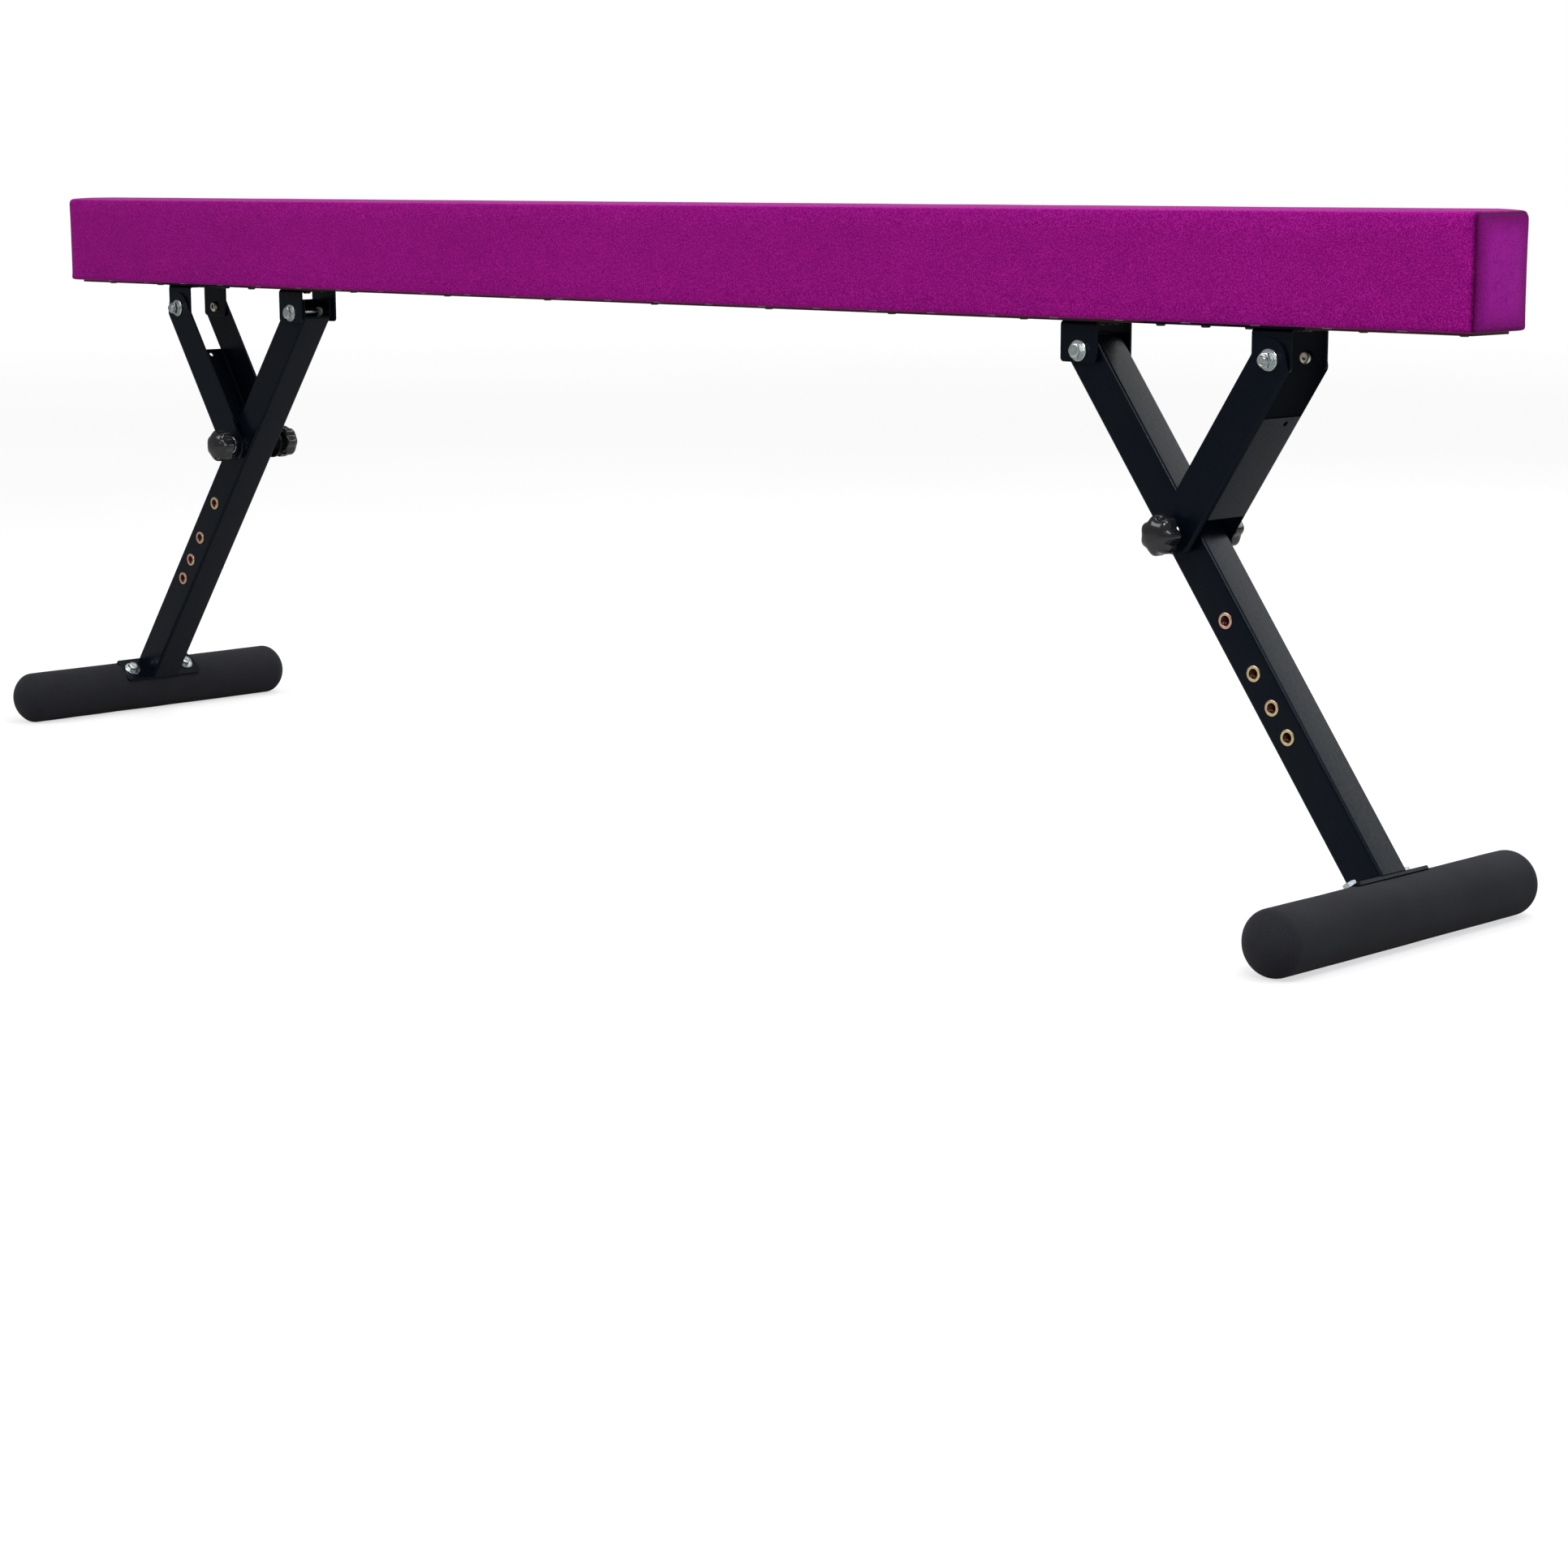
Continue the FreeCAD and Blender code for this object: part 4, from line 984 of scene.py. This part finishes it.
def threaded_inserts(name):
    """Rivet nuts in the leg's two side walls: a rounded flange and a tapped bore."""
    hinge, down = leg_axis(name)
    flange_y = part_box(name + "_leg_inserts")[1].y - INSERT_FLANGE
    distances = insert_places(name, hinge, down)
    parts = insert_parts()
    mesh = bmesh.new()
    for side in PLACES.values():
        for distance in distances:
            point = hinge + down * distance
            place = facing(point.x, side * flange_y, point.z, side)
            for part, material in zip(parts, (0, 1, 1)):
                add_part(mesh, part, place, material)
    finish_piece(name + "_threaded_inserts", mesh, name + "_leg",
                 [COPPER, INSERT_BROWN], [name + "_leg_inserts"])


# ---------------------------------------------------------------- knobs

def lobed_ring(spread, lobing, height):
    """One ring of the knob: lobing 1 has full lobes, and 0 is round."""
    count = KNOB_LOBES * POINTS_PER_LOBE
    ring = []
    for k in range(count):
        angle = 2 * math.pi * k / count
        swell = ((1 + math.cos(KNOB_LOBES * angle)) / 2) ** 0.9
        lobed = KNOB_VALLEY + (KNOB_RADIUS - KNOB_VALLEY) * swell
        plain = (KNOB_VALLEY + KNOB_RADIUS) / 2
        r = spread * (lobing * lobed + (1 - lobing) * plain)
        ring.append((r * math.cos(angle), r * math.sin(angle), height))
    return ring


def knob_body(depth):
    """A star knob along +Z from its hub's face: hub, recess, lobed rim and domed face."""
    count = KNOB_LOBES * POINTS_PER_LOBE
    back = KNOB_HUB_LENGTH
    rings = [circle(KNOB_HUB_RADIUS - 0.0006, 0, count), circle(KNOB_HUB_RADIUS, 0.0005, count),
             circle(KNOB_HUB_RADIUS + 0.0006, back, count),
             circle(KNOB_HUB_RADIUS + 0.0010, back + KNOB_RECESS_DEPTH - 0.0008, count),
             circle(KNOB_HUB_RADIUS + 0.0020, back + KNOB_RECESS_DEPTH, count),
             circle(KNOB_RECESS_RADIUS - 0.0010, back + KNOB_RECESS_DEPTH, count),
             circle(KNOB_RECESS_RADIUS, back + KNOB_RECESS_DEPTH - 0.0010, count),
             circle(KNOB_RECESS_RADIUS, back + 0.0006, count),
             lobed_ring(0.90, 0.85, back)]
    for k in range(1, 5):
        angle = math.pi / 2 * k / 4
        rings.append(lobed_ring(0.93 + 0.07 * math.sin(angle), 1,
                                back + 0.0018 * (1 - math.cos(angle))))
    rim_top = back + KNOB_RIM
    rings.append(lobed_ring(1, 1, (back + rim_top) / 2))
    rings.append(lobed_ring(1, 1, rim_top))
    dome = depth - rim_top
    for k in range(1, 17):
        angle = math.pi / 2 * k / 17
        spread = math.cos(angle) ** 0.7
        rings.append(lobed_ring(spread, spread ** 4, rim_top + dome * math.sin(angle)))
    return loft(rings)


def knobs(name):
    """Each knob with its stud, and the washer under it."""
    for place_name, side in PLACES.items():
        prefix = name + "_" + place_name + "_knob"
        body = name + "_" + place_name + "_hand_knob"
        axis = centre(prefix + "_washer")
        back, front = near_and_far(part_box(prefix), side)
        knob = bmesh.new()
        add_part(knob, knob_body(abs(front - back)), facing(axis.x, back, axis.z, side))
        smoothed(finish_piece(prefix + "_moulded", knob, body, [KNOB], [prefix], sharp=80))
        tip = near_and_far(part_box(prefix + "_stud"), side)[0]
        stud = bmesh.new()
        add_part(stud, threaded(0, abs(back - tip) + STUD_ROOT, BOLT_RADIUS),
                 facing(axis.x, back + side * STUD_ROOT, axis.z, -side))
        finish_piece(prefix + "_stud_threaded", stud, body, [ZINC], [prefix + "_stud"])
        washer_low, washer_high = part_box(prefix + "_washer")
        seat = near_and_far((washer_low, washer_high), side)[0]
        ring = bmesh.new()
        add_part(ring, washer((washer_high.x - washer_low.x) / 2),
                 facing(axis.x, seat, axis.z, side))
        finish_piece(prefix + "_washer_plated", ring, name + "_" + place_name + "_washer",
                     [ZINC], [prefix + "_washer"])


# ---------------------------------------------------------------- studio

def area_light(name, place, target, size, power, colour=(1, 1, 1)):
    light = bpy.data.lights.new(name, "AREA")
    light.shape = "RECTANGLE"
    light.size, light.size_y = size
    light.energy = power
    light.color = colour
    lamp = bpy.data.objects.new(name, light)
    lamp.location = place
    lamp.rotation_euler = (Vector(target) - Vector(place)).to_track_quat("-Z", "Y").to_euler()
    scene.collection.objects.link(lamp)


def glowing_floor():
    """A wide pale floor whose glow only the camera sees, brighter towards the surround."""
    mesh = bmesh.new()
    bmesh.ops.create_circle(mesh, cap_ends=True, radius=FLOOR_RADIUS, segments=96)
    data = bpy.data.meshes.new("floor")
    mesh.to_mesh(data)
    mesh.free()
    floor = bpy.data.objects.new("floor", data)
    scene.collection.objects.link(floor)
    pale = Surface("pale_floor", Roughness=0.9, Specular_IOR_Level=0.1)
    pale.feed("Base Color", pale.ramp(pale.noise(0.6, 2.0), (0.3, 0.38), (0.7, 0.40)))
    pale.shader.inputs["Emission Color"].default_value = (1, 1, 1, 1)
    reach = pale.tree.nodes.new("ShaderNodeVectorMath")
    reach.operation = "LENGTH"
    pale.tree.links.new(pale.place, reach.inputs[0])
    share = pale.maths("DIVIDE", reach.outputs["Value"], FLOOR_FADE)
    glow = pale.ramp(share, (0.15, NEAR_FLOOR_GLOW), (1.0, FAR_FLOOR_GLOW))
    seen = pale.tree.nodes.new("ShaderNodeLightPath").outputs["Is Camera Ray"]
    pale.feed("Emission Strength", pale.maths("MULTIPLY", glow, seen))
    data.materials.append(pale.material)


def surround():
    """White to the camera, and dimmer as a light and in reflections."""
    world = bpy.data.worlds.new("studio")
    scene.world = world
    world.use_nodes = True
    tree = world.node_tree
    background = tree.nodes["Background"]
    ray = tree.nodes.new("ShaderNodeLightPath")
    total = tree.nodes.new("ShaderNodeValue").outputs["Value"]
    total.default_value = 0.0
    for kind, strength in (("Is Camera Ray", 1.0), ("Is Diffuse Ray", SOFT_LIGHT),
                           ("Is Glossy Ray", MIRRORED_LIGHT)):
        share = tree.nodes.new("ShaderNodeMath")
        share.operation = "MULTIPLY_ADD"
        tree.links.new(ray.outputs[kind], share.inputs[0])
        share.inputs[1].default_value = strength
        tree.links.new(total, share.inputs[2])
        total = share.outputs["Value"]
    tree.links.new(total, background.inputs["Strength"])
    background.inputs["Color"].default_value = (1, 1, 1, 1)


def lights():
    area_light("key", (-1.2, -3.6, 3.4), (0, 0, 0.5), (3.5, 2.0), 80)
    area_light("overhead", (0.2, 0.6, 3.8), (0, 0, 0.4), (4.0, 2.0), 60)
    area_light("right_side", (2.9, -0.3, 3.4), (0.8, 0, 0.5), (1.6, 1.2), 40, (0.80, 0.84, 1.0))
    area_light("rear", (1.3, 3.7, 2.7), (0.5, 0, 0.4), (4.0, 1.8), 50)
    for shift in (-0.22, 0.22):
        area_light("glint", (2.3 + shift, -1.9, 2.7), (0.8, 0, 0.45), (0.22, 0.22), 14)


def camera():
    data = bpy.data.cameras.new("camera")
    data.sensor_width = 36
    data.lens = 77.75
    data.clip_end = 200
    viewpoint = bpy.data.objects.new("camera", data)
    viewpoint.location = (3.0835, -2.8136, 0.7831)
    heading, tilt, roll = -0.7936, -0.1798, -0.0020
    forward = Vector((math.sin(heading) * math.cos(tilt), math.cos(heading) * math.cos(tilt),
                      math.sin(tilt)))
    level = Vector((math.cos(heading), -math.sin(heading), 0))
    right = level * math.cos(roll) + level.cross(forward) * math.sin(roll)
    turn = Matrix((right, right.cross(forward), -forward)).transposed()
    viewpoint.rotation_euler = turn.to_euler()
    scene.collection.objects.link(viewpoint)
    scene.camera = viewpoint


scene.view_settings.view_transform = "Standard"
camera()
glowing_floor()
surround()
lights()
paint_cad_nodes()
beam_cover()
inner_foam()
for leg_set in LEG_SETS:
    painted_steel(leg_set)
    foot_sleeve(leg_set)
    foot_hardware(leg_set)
    leg_hinge(leg_set)
    strut_hinge(leg_set)
    threaded_inserts(leg_set)
    knobs(leg_set)
